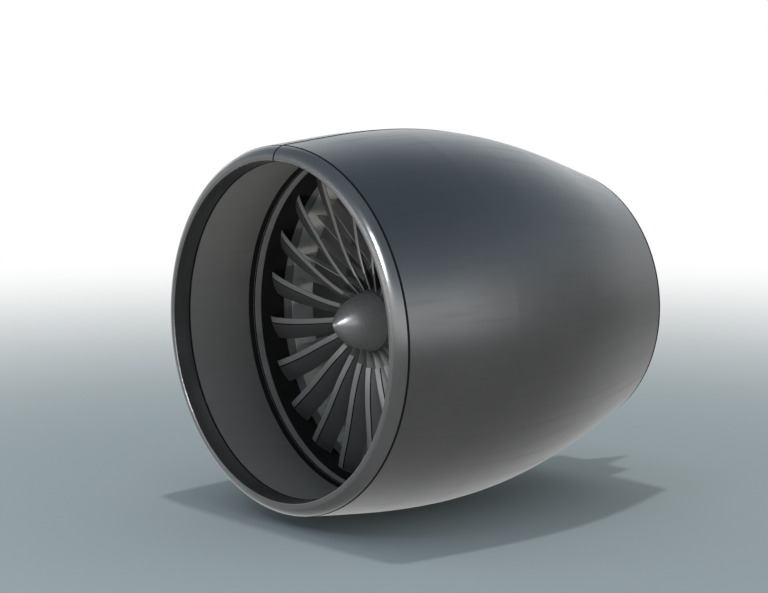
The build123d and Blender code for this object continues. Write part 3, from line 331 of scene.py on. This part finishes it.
def barrel_paint():
    """Satin lining of the inlet, darker towards the fan, with streaks."""
    finish = Finish("barrel_paint", 0.25, 0.42)
    tree = finish.tree
    tone = finish.effect("cloudy_tone", **{"Patches per metre": 3.0}).outputs["Tone"]
    streaks = finish.effect("flow_streaks", **{"Streaks round": 70.0}).outputs["Mask"]
    body = blend_colour(tree, tone, shade(0.19, 0.19, 0.187), shade(0.235, 0.235, 0.23))
    # A smooth darkening towards the fan, with the flow streaks added to it.
    near_fan = spread(tree, finish.where.outputs["Station"], 0.0, 0.35, 0.2, 0.45, "SMOOTHSTEP")
    fan_end_darkening_and_streaks = maths(tree, "ADD", near_fan, maths(tree, "MULTIPLY", streaks, 0.15), clamp=True)
    body = blend_colour(tree, fan_end_darkening_and_streaks, body, shade(0.12, 0.12, 0.118))
    finish.base(body)
    finish.roughness(spread(tree, tone, 0.38, 0.48))
    weave = node(tree, "ShaderNodeTexNoise", {"Vector": finish.where.outputs["Turned"], "Scale": 400.0})
    finish.relief(weave.outputs["Fac"], 0.00003, 0.5)
    return finish.material


def turned_metal(name, base, roughness, soil, lines_per_metre=600.0, edge=None, metallic=1.0):
    """Metal turned on a lathe, with its fine lines, stains and dust.

    An edge is a coordinate's name, the value where wear is strongest, and the width of the wear."""
    finish = Finish(name, metallic, roughness)
    tree = finish.tree
    tone = finish.effect("cloudy_tone", **{"Patches per metre": 7.0}).outputs["Tone"]
    lines = finish.effect("brushed_grain", Vector=finish.where.outputs["Turned"],
                          **{"Lines per metre": lines_per_metre}).outputs["Lines"]
    body = blend_colour(tree, tone, shade(*(0.82 * part for part in base)),
                        shade(*(min(1.0, 1.15 * part) for part in base)))
    dirty = maths(tree, "MULTIPLY", spread(tree, tone, 0.0, 1.0, 0.5, 0.72, "SMOOTHSTEP"), soil)
    body = blend_colour(tree, dirty, body, shade(0.05, 0.045, 0.038))
    if edge:
        worn = finish.effect("worn_edge", Value=finish.where.outputs[edge[0]], Edge=edge[1], Width=edge[2],
                             **{"Chips per metre": 110.0}).outputs["Mask"]
        body = blend_colour(tree, maths(tree, "MULTIPLY", worn, 0.6), body, shade(0.6))
    dust = finish.effect("settled_dust", Amount=0.2).outputs["Mask"]
    body = blend_colour(tree, dust, body, shade(0.32, 0.31, 0.29))
    finish.base(body)
    finish.roughness(spread(tree, maths(tree, "ADD", lines, dirty), roughness - 0.07, roughness + 0.1,
                            0.2, 1.0))
    finish.relief(lines, 0.00003, 0.5)
    return finish.material


def blade_metal():
    """Blade metal, polished along its length, worn at the tip, darker and duller towards the hub."""
    finish = Finish("blade_metal", 0.5, 0.42)
    tree = finish.tree
    tone = finish.effect("cloudy_tone", **{"Patches per metre": 9.0}).outputs["Tone"]
    stretched = maths(tree, "MULTIPLY", finish.where.outputs["Radius"], 0.04)
    radial = node(tree, "ShaderNodeCombineXYZ", {"X": finish.where.outputs["Station"], "Y": stretched,
                                                 "Z": finish.where.outputs["Clock"]})
    lines = finish.effect("brushed_grain", Vector=radial.outputs[0],
                          **{"Lines per metre": 800.0}).outputs["Lines"]
    body = blend_colour(tree, tone, shade(0.085, 0.085, 0.087), shade(0.115, 0.115, 0.117))
    near_tip = finish.effect("worn_edge", Value=finish.where.outputs["Radius"], Edge=blade_tip, Width=0.012,
                             **{"Chips per metre": 90.0}).outputs["Mask"]
    body = blend_colour(tree, maths(tree, "MULTIPLY", near_tip, 0.5), body, shade(0.32))
    near_hub = spread(tree, finish.where.outputs["Radius"], 0.45, 0.0, 0.15, 0.4, "SMOOTHSTEP")
    body = blend_colour(tree, near_hub, body, shade(0.08, 0.078, 0.074))
    finish.base(body)
    finish.roughness(spread(tree, maths(tree, "ADD", lines, near_hub), 0.38, 0.52, 0.2, 1.3))
    finish.relief(lines, 0.00003, 0.6)
    return finish.material


def hot_metal():
    """Steel and nickel behind the core, tinted by heat."""
    finish = Finish("hot_metal", 1.0, 0.38)
    tree = finish.tree
    tone = finish.effect("cloudy_tone", **{"Patches per metre": 6.0}).outputs["Tone"]
    lines = finish.effect("brushed_grain", Vector=finish.where.outputs["Turned"],
                          **{"Lines per metre": 500.0}).outputs["Lines"]
    heat = spread(tree, finish.where.outputs["Station"], 0.15, 0.85, 1.7, 2.2)
    uneven = maths(tree, "MULTIPLY", maths(tree, "SUBTRACT", tone, 0.5), 0.9)
    heat = maths(tree, "ADD", heat, uneven, clamp=True)
    body = finish.effect("heat_tint", Heat=heat).outputs["Color"]
    streaks = finish.effect("flow_streaks", **{"Streaks round": 40.0}).outputs["Mask"]
    body = blend_colour(tree, maths(tree, "MULTIPLY", streaks, 0.35), body, shade(0.03, 0.027, 0.025))
    finish.base(body)
    finish.roughness(spread(tree, maths(tree, "ADD", lines, streaks), 0.3, 0.5, 0.2, 1.4))
    finish.relief(lines, 0.00004, 0.5)
    return finish.material


def satin_paint(name, base, roughness):
    """Satin paint with patches, dust and a fine roller texture."""
    finish = Finish(name, 0.6, roughness)
    tree = finish.tree
    tone = finish.effect("cloudy_tone", **{"Patches per metre": 5.0}).outputs["Tone"]
    body = blend_colour(tree, tone, shade(*(0.85 * part for part in base)),
                        shade(*(1.12 * part for part in base)))
    streaks = finish.effect("flow_streaks", **{"Streaks round": 50.0}).outputs["Mask"]
    body = blend_colour(tree, maths(tree, "MULTIPLY", streaks, 0.25), body, shade(0.04, 0.038, 0.035))
    dust = finish.effect("settled_dust", Amount=0.25).outputs["Mask"]
    body = blend_colour(tree, dust, body, shade(0.3, 0.29, 0.27))
    finish.base(body)
    finish.roughness(spread(tree, tone, roughness - 0.05, roughness + 0.1, 0.2, 0.8))
    finish.relief(finish.fine_noise(500.0, 2.0), 0.00005, 0.4)
    return finish.material


def black_rubber(name, base, roughness):
    """Seal rubber or dark lining, dull, with greyer worn patches."""
    finish = Finish(name, 0.0, roughness)
    finish.shader.inputs["Specular IOR Level"].default_value = 0.15
    tree = finish.tree
    tone = finish.effect("cloudy_tone", **{"Patches per metre": 12.0}).outputs["Tone"]
    body = blend_colour(tree, spread(tree, tone, 0.0, 1.0, 0.35, 0.7), shade(base), shade(2.2 * base))
    finish.base(body)
    finish.roughness(spread(tree, tone, roughness - 0.08, roughness + 0.08, 0.3, 0.7))
    finish.relief(finish.fine_noise(900.0, 3.0), 0.00008, 0.5)
    return finish.material


# One finish for each material slot of the record
finishes = {
    "cowl_paint": cowl_paint(),
    "lip_metal": lip_metal(),
    "barrel_paint": barrel_paint(),
    "case_metal": turned_metal("case_metal", (0.3, 0.3, 0.305), 0.42, 0.25, metallic=0.5),
    "liner_rubber": black_rubber("liner_rubber", 0.006, 0.7),
    "blade_metal": blade_metal(),
    "spinner_metal": turned_metal("spinner_metal", (0.27, 0.275, 0.28), 0.3, 0.04, 500.0,
                                  ("Station", 0.29, 0.015), 0.6),
    "vane_metal": turned_metal("vane_metal", (0.62, 0.62, 0.6), 0.4, 0.25, metallic=0.25),
    "disc_metal": turned_metal("disc_metal", (0.26, 0.26, 0.265), 0.3, 0.35),
    "shaft_steel": turned_metal("shaft_steel", (0.42, 0.42, 0.43), 0.22, 0.3, 900.0),
    "bearing_steel": turned_metal("bearing_steel", (0.58, 0.58, 0.59), 0.16, 0.15, 1200.0),
    "duct_metal": turned_metal("duct_metal", (0.3, 0.3, 0.305), 0.38, 0.3),
    "core_paint": satin_paint("core_paint", (0.2, 0.2, 0.205), 0.4),
    "casing_metal": turned_metal("casing_metal", (0.38, 0.38, 0.375), 0.42, 0.4, 300.0),
    "hot_metal": hot_metal(),
    "mount_steel": turned_metal("mount_steel", (0.34, 0.34, 0.345), 0.34, 0.35),
    "hinge_metal": turned_metal("hinge_metal", (0.4, 0.4, 0.41), 0.32, 0.3),
}
seal_rubber = black_rubber("seal_rubber", 0.004, 0.75)
sheath_metal = turned_metal("sheath_metal", (0.34, 0.34, 0.345), 0.34, 0.12, metallic=0.45)
bolt_metal = turned_metal("bolt_metal", (0.45, 0.44, 0.43), 0.3, 0.3, 1500.0)

for entry in frame["record"]["subparts"]:
    target = nodes[entry["node"]]
    target.data.materials.clear()
    target.data.materials.append(finishes[entry["material_slot"]])


# Mesh tools
def new_piece(name, mesh, material, body):
    """A piece of mesh with its material, riding on a body."""
    made = bpy.data.objects.new(name, mesh)
    bpy.context.scene.collection.objects.link(made)
    mesh.materials.append(material)
    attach(made, body)


def mesh_from(name, vertices, faces):
    mesh = bpy.data.meshes.new(name)
    mesh.from_pydata(vertices, [], faces)
    mesh.validate()
    return mesh


def smooth_outside(mesh, sharp_angle=35):
    """Faces that all look outwards, shaded smooth but for edges sharper than an angle."""
    made = bmesh.new()
    made.from_mesh(mesh)
    bmesh.ops.recalc_face_normals(made, faces=made.faces)
    made.to_mesh(mesh)
    made.free()
    mesh.shade_smooth()
    mesh.set_sharp_from_angle(angle=radians(sharp_angle))


def closed_strip(name, rows, material, body, ring=False):
    """A closed band: each row is the outline of its section, and the rows follow each other."""
    size = len(rows[0])
    vertices = [corner for row in rows for corner in row]
    faces = []
    last = len(rows) if ring else len(rows) - 1
    for i in range(last):
        start, following = i * size, (i + 1) % len(rows) * size
        for j in range(size):
            k = (j + 1) % size
            faces.append((start + j, start + k, following + k, following + j))
    if not ring:
        faces.append(tuple(reversed(range(size))))
        faces.append(tuple(range(len(vertices) - size, len(vertices))))
    mesh = mesh_from(name, vertices, faces)
    smooth_outside(mesh)
    new_piece(name, mesh, material, body)


ring_steps = 240


def band(name, outline, material, body, clocks=None):
    """A band round the shaft line with a section of (station, radius) points."""
    if clocks:
        steps = max(8, round(ring_steps * (clocks[1] - clocks[0]) / 360))
        turns = [clocks[0] + (clocks[1] - clocks[0]) * i / steps for i in range(steps + 1)]
    else:
        turns = [360 * i / ring_steps for i in range(ring_steps)]
    rows = [[place(station, radius, clock) for station, radius in outline] for clock in turns]
    closed_strip(name, rows, material, body, ring=clocks is None)


def cowl_radius(station):
    """The outer skin's radius, on the arcs that run smoothly through the cowl's line."""
    lean = atan(cowl_start_slope)
    for (start, first), (end, second) in zip(cowl_line, cowl_line[1:]):
        chord = atan2(second - first, end - start)
        if station <= end or end == cowl_end:
            bend = hypot(end - start, second - first) / (2 * sin(chord - lean))
            heading = asin((station - start) / bend + sin(lean))
            return first + bend * (cos(lean) - cos(heading))
        lean = 2 * chord - lean


# Seals in the seams
seal_height = 0.0005


def lip_quarter(bend, end, inward, steps=20):
    """Points and outward directions on the lip's outer face, on two arcs from its nose to a seam."""
    nose, end, inward = Vector(lip_nose), Vector(end), Vector(inward).normalized()
    nose_centre = nose + Vector((bend, 0.0))
    gap = end - nose_centre
    seam_bend = (bend ** 2 - gap.length_squared) / (2 * (gap.dot(inward) + bend))
    seam_centre = end + inward * seam_bend
    join = seam_centre + (nose_centre - seam_centre).normalized() * seam_bend
    points = []
    for centre, radius, first, last in ((nose_centre, bend, nose, join), (seam_centre, seam_bend, join, end)):
        for i in range(steps + 1):
            outward = (first - centre).normalized().slerp((last - centre).normalized(), i / steps)
            points.append((centre + outward * radius, outward))
    return points[:steps] + points[steps + 1:]


def lip_seam_seal():
    """The strip that fills the seam between the lip and the cowl, and laps over the lip's edge."""
    start, edge, foot, bottom = -0.0085, 0.0026, 0.0002, seam_radius - 0.008
    outline = [(start, seam_radius + start * cowl_start_slope - 0.0001 + seal_height),
               (edge, seam_radius + seal_height), (edge, bottom), (foot, bottom),
               (foot, seam_radius - 0.0008), (start, seam_radius - 0.002)]
    band("lip_seam_seal", outline, seal_rubber, "nacelle")


def inner_seam_seal():
    """The flat strip over the seam between the lip and the barrel."""
    station, radius = inner_seam
    start, end = station - 0.0045, station + 0.0055
    outline = [(start, radius - seal_height), (start, radius + 0.0005), (end, radius + 0.0007),
               (end, radius - seal_height)]
    band("inner_seam_seal", outline, seal_rubber, "nacelle")


def butt_seam_seal():
    """The strip that fills the lip's butt seam at the top."""
    half, depth, gap = 0.0042, 0.0035, 0.0009
    outer = lip_quarter(lip_outer_bend, (0.0, seam_radius), (cowl_start_slope, -1.0))
    inner = lip_quarter(lip_inner_bend, inner_seam, (0.0, 1.0))
    rows = []
    for here, outward in list(reversed(outer)) + inner[1:]:
        out, deep = here + outward * seal_height, here - outward * depth
        rows.append([engine_start + Vector((at.x, across, at.y))
                     for at, across in ((out, -half), (out, half), (here, half), (here, gap), (deep, gap),
                                        (deep, -gap), (here, -gap), (here, -half))])
    closed_strip("butt_seam_seal", rows, seal_rubber, "nacelle")


def split_seal(name, side):
    """The rubber in the split between the cowl's halves, held by the fixed half and lapped over its edge."""
    rows = []
    steps = 60
    front, rear = 0.006, 1.842
    free, held, lap, bead = -split_gap / 2 + 0.0012, split_gap / 2, split_gap / 2 + 0.004, 0.0018
    for i in range(steps + 1):
        station = front + (rear - front) * i / steps
        skin = cowl_radius(station)
        rows.append([engine_start + Vector((station, across, side * (skin + height)))
                     for across, height in ((free, -0.004), (free, 0.0004), (free + 0.002, bead),
                                            (lap - 0.002, bead), (lap, 0.0003), (held, -0.0004),
                                            (held, -0.004))])
    closed_strip(name, rows, seal_rubber, "nacelle")


def trailing_edge_trim(name, clocks, body):
    """The dark edge strip round one half of the cowl's rear edge."""
    front, middle, rear, depth = 1.8430, 1.8490, 1.8549, 0.0012
    outline = [(station, cowl_radius(station) + seal_height) for station in (front, middle, rear)]
    outline += [(rear, cowl_radius(cowl_end) - depth), (front, cowl_radius(front) - depth)]
    band(name, outline, seal_rubber, body, clocks=clocks)


def barrel_seal():
    """The rubber seal between the inlet barrel and the fan case's land."""
    front, step, edge = 0.432, barrel_end - 0.0001, land_front - 0.0002
    outline = [(front, 0.83295), (step, 0.8344), (step, groove_radius + 0.0008),
               (edge, groove_radius - 0.0004), (edge, groove_radius - 0.0034), (0.4440, 0.8285),
               (front, 0.83215)]
    band("barrel_seal", outline, seal_rubber, "nacelle")


half_gap_clock = 0.35
barrel_seal()
lip_seam_seal()
inner_seam_seal()
butt_seam_seal()
split_seal("split_seal_top", 1)
split_seal("split_seal_bottom", -1)
trailing_edge_trim("rear_trim_fixed", (half_gap_clock, 180 - half_gap_clock), "nacelle")
trailing_edge_trim("rear_trim_door", (180 + half_gap_clock, 360 - half_gap_clock), "cowl_door")


# Leading edges of the fan blades: a light sheath round each one, with a dark bond line along its rims
def surface_of(piece):
    """A piece's faces, ready for ray casts."""
    return BVHTree.FromPolygons([piece.matrix_world @ corner.co for corner in piece.data.vertices],
                                [tuple(face.vertices) for face in piece.data.polygons])


class BladeFace:
    """The first fan blade's airfoil at a radius, found on its mesh by rays along and across the chord."""
    surface = surface_of(nodes["fan_blade_01"])
    reach = 0.04
    nose_depth = 0.06
    bluntness = 0.17

    def __init__(self, radius):
        for low, high in zip(blade_sections, blade_sections[1:]):
            if radius <= high[0]:
                break
        share = (radius - low[0]) / (high[0] - low[0])
        _, station, clock, self.chord, stagger, thickness = (
            first + share * (last - first) for first, last in zip(low, high))
        lean = radians(stagger)
        flat = (radius ** 2 - (self.chord * sin(lean) / 2) ** 2) ** 0.5
        clock = radians(clock + first_blade_clock)
        sideways = Vector((0.0, cos(clock), -sin(clock)))
        self.ahead = Vector((cos(lean), 0.0, 0.0)) + sideways * sin(lean)
        self.across = Vector((sin(lean), 0.0, 0.0)) - sideways * cos(lean)
        upward = Vector((0.0, sin(clock), cos(clock)))
        start = engine_start + Vector((station, 0.0, 0.0)) + upward * flat
        start -= sideways * (self.chord * sin(lean) / 2)
        inside = start + self.ahead * (self.chord * self.nose_depth)
        middle = (self.hit(inside, 1) + self.hit(inside, -1)) / 2
        self.nose = self.surface.ray_cast(middle - self.ahead * self.reach, self.ahead)[0]
        self.half_nose = thickness * self.bluntness

    def hit(self, near, side):
        """The point on one face across from a place; side is 1 in front and -1 behind."""
        return self.surface.ray_cast(near + self.across * (side * self.reach), self.across * -side)[0]

    def outline(self, shares, height):
        """Points a height above the faces; a share of 0 is a corner of the blunt nose."""
        points = []
        for share, side in shares:
            if share:
                points.append(self.hit(self.nose + self.ahead * (self.chord * share), side)
                              + self.across * (side * height))
            else:
                points.append(self.nose - self.ahead * height + self.across * (side * self.half_nose))
        return points


def turned_copies(corners, faces, count):
    """The corners and faces of a shape, and of its copies turned round the shaft line."""
    all_corners, all_faces = [], []
    for turn in range(count):
        angle = 2 * pi * turn / count
        first = len(all_corners)
        for corner in corners:
            local = corner - shaft
            all_corners.append(shaft + Vector((local.x, local.y * cos(angle) + local.z * sin(angle),
                                               local.z * cos(angle) - local.y * sin(angle))))
        all_faces += [tuple(first + j for j in face) for face in faces]
    return all_corners, all_faces


def blade_strips(name, shares, height, material, first_radius=0.23, steps=28):
    """A strip that lies on the blade's faces along the stated chord shares, on all the blades."""
    sunk, short_of_tip = 0.0003, 0.0015
    rows = []
    for i in range(steps + 1):
        face = BladeFace(first_radius + (blade_tip - short_of_tip - first_radius) * i / steps)
        rows.append(face.outline(shares, height) + list(reversed(face.outline(shares, -sunk))))
    size = len(rows[0])
    faces = [(i * size + j, i * size + (j + 1) % size, (i + 1) * size + (j + 1) % size, (i + 1) * size + j)
             for i in range(steps) for j in range(size)]
    faces += [tuple(reversed(range(size))), tuple(range(steps * size, (steps + 1) * size))]
    corners, faces = turned_copies([corner for row in rows for corner in row], faces, blade_count)
    mesh = mesh_from(name, corners, faces)
    smooth_outside(mesh)
    new_piece(name, mesh, material, "low_spool")


sheath_end, bond_end = 0.22, 0.275
sheath_shares = (sheath_end, 0.13, 0.045, 0)
blade_strips("blade_sheaths", [(share, 1) for share in sheath_shares] +
             [(share, -1) for share in reversed(sheath_shares)], 0.0006, sheath_metal)
blade_strips("sheath_bond_front", [(sheath_end, 1), (bond_end, 1)], 0.0005, seal_rubber)
blade_strips("sheath_bond_rear", [(bond_end, -1), (sheath_end, -1)], 0.0005, seal_rubber)


# Bolts round the flanges of the fan case and the guide vanes
def bolt_ring(name, station, rearwards, count=44, radius=0.8405, half_head=0.0075, height=0.0055):
    """Hexagon heads on one face of a flange, each on a washer and with a raised middle."""
    way = 1 if rearwards else -1
    sunk, washer, raised = 0.0002, 0.0012, 0.0008
    corners, faces = [], []
    middle = place(station, radius, 180.0 / count)
    for half_width, low, high, sides in ((half_head * 1.25, -sunk, washer, 12),
                                         (half_head, washer - sunk, height, 6),
                                         (half_head * 0.8, height - sunk, height + raised, 6)):
        first = len(corners)
        for lift in (low, high):
            for j in range(sides):
                turn = 2 * pi * j / sides
                corners.append(middle + Vector((way * lift, half_width * cos(turn), half_width * sin(turn))))
        faces += [(first + j, first + (j + 1) % sides, first + sides + (j + 1) % sides, first + sides + j)
                  for j in range(sides)]
        faces += [tuple(first + j for j in reversed(range(sides))),
                  tuple(first + sides + j for j in range(sides))]
    corners, faces = turned_copies(corners, faces, count)
    mesh = mesh_from(name, corners, faces)
    smooth_outside(mesh)
    new_piece(name, mesh, bolt_metal, "nacelle")


half_joint = 0.010
for flange, station in (("front", 0.455), ("middle", 0.700), ("rear", 0.832)):
    bolt_ring(f"{flange}_flange_heads", station - half_joint, False)
    bolt_ring(f"{flange}_flange_nuts", station + half_joint, True)


# Studio
floor_gap = 0.001
floor_centre = Vector((0.1, shaft.y, cad_box[0][2] - floor_gap))


def floor_material():
    """A pale blue-grey floor that fades to white with distance from the engine."""
    material = bpy.data.materials.new("studio_floor")
    material.use_nodes = True
    tree = material.node_tree
    shader = tree.nodes["Principled BSDF"]
    shader.inputs["Roughness"].default_value = 0.9
    shader.inputs["Specular IOR Level"].default_value = 0.0
    coordinates = node(tree, "ShaderNodeTexCoord")
    away = node(tree, "ShaderNodeVectorMath", {0: coordinates.outputs["Object"]}, operation="LENGTH")
    fade_start, fade_end = 2.0, 11.0
    fade = spread(tree, away.outputs["Value"], 0.0, 1.0, fade_start, fade_end, "SMOOTHSTEP")
    link(tree, blend_colour(tree, fade, shade(0.3, 0.345, 0.352), shade(0.0)), shader.inputs["Base Color"])
    link(tree, blend_colour(tree, fade, shade(0.0), shade(1.0)), shader.inputs["Emission Color"])
    shader.inputs["Emission Strength"].default_value = 1.0
    return material


def floor():
    half = 90.0
    mesh = mesh_from("studio_floor", [(-half, -half, 0), (half, -half, 0), (half, half, 0), (-half, half, 0)],
                     [(0, 1, 2, 3)])
    made = bpy.data.objects.new("studio_floor", mesh)
    made.location = floor_centre
    bpy.context.scene.collection.objects.link(made)
    mesh.materials.append(floor_material())
    made.visible_glossy = False


def area_light(name, spot, target, size, energy, tint=(1.0, 1.0, 1.0), beam=180, diffuse=True, glossy=True):
    """A lamp that the camera doesn't see, aimed at a target, with the full angle of its beam in degrees."""
    data = bpy.data.lights.new(name, "AREA")
    data.shape = "RECTANGLE"
    data.size, data.size_y = size
    data.energy = energy
    data.color = tint
    data.spread = radians(beam)
    made = bpy.data.objects.new(name, data)
    made.location = spot
    made.rotation_euler = (Vector(target) - Vector(spot)).to_track_quat("-Z", "Y").to_euler()
    made.visible_camera = False
    made.visible_diffuse = diffuse
    made.visible_glossy = glossy
    bpy.context.scene.collection.objects.link(made)
    return made


def shine_only_on(lamp, pieces):
    """A lamp lights these pieces and nothing else."""
    lit = bpy.data.collections.new(lamp.name + "_pieces")
    for piece in pieces:
        lit.objects.link(piece)
    lamp.light_linking.receiver_collection = lit


def height_band(tree, height, low, full, fading, gone):
    """A mask that is full between two heights and fades out below and above them."""
    rising = spread(tree, height, 0.0, 1.0, low, full, "SMOOTHSTEP")
    return maths(tree, "MULTIPLY", rising, spread(tree, height, 1.0, 0.0, fading, gone, "SMOOTHSTEP"))


def mirrored_studio(tree, direction, height):
    """What the metal mirrors: a blue-grey ceiling, a dark floor, a bright panel to the right of the camera
    at the height of the engine, and light walls behind the engine."""
    sky = node(tree, "ShaderNodeValToRGB", {"Fac": spread(tree, height, 0.0, 1.0, -1.0, 1.0)})
    stops = [(-1.0, (0.33, 0.33, 0.33)), (-0.1, (0.3, 0.3, 0.3)), (0.12, (0.34, 0.34, 0.34)),
             (0.33, (0.43, 0.48, 0.51)), (0.45, (0.41, 0.48, 0.53)), (0.6, (0.31, 0.37, 0.43)),
             (0.8, (0.21, 0.26, 0.31))]
    fill_ramp(sky, [((level + 1) / 2, tint) for level, tint in stops])
    away = node(tree, "ShaderNodeVectorMath", {0: direction, 1: (0.66, 0.75, 0.0)}, operation="DOT_PRODUCT")
    away = away.outputs["Value"]
    side_panel = maths(tree, "MULTIPLY", spread(tree, away, 1.15, 0.0, -0.36, -0.02, "SMOOTHSTEP"),
                       height_band(tree, height, -0.16, 0.08, 0.18, 0.5))
    low_wall = maths(tree, "MULTIPLY", spread(tree, away, 0.0, 0.34, 0.3, 0.58, "SMOOTHSTEP"),
                     height_band(tree, height, -0.12, 0.1, 0.16, 0.42))
    start = spread(tree, height, 0.1, 0.55, -0.35, 0.1)
    far_wall = spread(tree, away, 0.0, 0.5, start, 1.0, "SMOOTHSTEP")
    light = maths(tree, "ADD", side_panel, maths(tree, "ADD", low_wall, far_wall))
    return blend_colour(tree, light, sky.outputs["Color"], shade(1.0), "ADD")


def studio_world():
    """White to the camera, soft walls to dull surfaces and the mirrored studio to glossy ones."""
    world = bpy.data.worlds.new("studio")
    bpy.context.scene.world = world
    world.use_nodes = True
    tree = world.node_tree
    tree.nodes.clear()
    direction = node(tree, "ShaderNodeTexCoord").outputs["Generated"]
    parts = node(tree, "ShaderNodeSeparateXYZ", {0: direction})
    mirrored = mirrored_studio(tree, direction, parts.outputs["Z"])
    in_front = spread(tree, parts.outputs["X"], 1.0, 0.0, -0.85, -0.3, "SMOOTHSTEP")
    walls = blend_colour(tree, in_front, shade(0.8, 0.83, 0.86), shade(0.16, 0.22, 0.29))
    path = node(tree, "ShaderNodeLightPath")
    soft = blend_colour(tree, path.outputs["Is Diffuse Ray"], mirrored, walls)
    background = node(tree, "ShaderNodeBackground",
                      {"Color": blend_colour(tree, path.outputs["Is Camera Ray"], soft, shade(1.0))})
    link(tree, background.outputs[0], node(tree, "ShaderNodeOutputWorld").inputs["Surface"])


def camera():
    """The camera at the photo's place and viewing angle."""
    spot, look = Vector((-6.5635, -8.1310, 1.3677)), Vector((0.6560, 0.7437, -0.1287))
    data = bpy.data.cameras.new("photo_camera")
    data.lens = 95.49
    data.sensor_width = 36.0
    data.clip_end = 300.0
    made = bpy.data.objects.new("photo_camera", data)
    made.location = spot
    made.rotation_euler = look.to_track_quat("-Z", "Y").to_euler()
    bpy.context.scene.collection.objects.link(made)
    bpy.context.scene.camera = made


floor()
studio_world()
area_light("overhead", spot=(0.1, shaft.y, 22.0), target=(0.1, shaft.y, 0.0), size=(1.0, 1.0),
           energy=1350.0, glossy=False)
highlight = area_light("highlight", spot=(-6.8, -3.75, 4.0), target=(-0.6, shaft.y, 0.0), size=(0.7, 2.2),
                       energy=300.0, diffuse=False)
shine_only_on(highlight, [nodes["inlet_lip"], nodes["spinner"]] + [
    piece for name, piece in nodes.items() if name.startswith("fan_blade")])
area_light("low_fill", spot=(-3.0, -2.2, -0.75), target=(0.0, shaft.y + 0.5, 0.9), size=(1.2, 0.3),
           energy=5.2, tint=(1.0, 0.96, 0.9), beam=46, glossy=False)
area_light("high_fill", spot=(-4.2, -1.8, 3.0), target=(0.0, shaft.y + 0.4, -0.6), size=(1.6, 1.0),
           energy=27.0, tint=(0.78, 0.92, 1.0), glossy=False)
camera()
bpy.context.scene.view_settings.view_transform = "Standard"
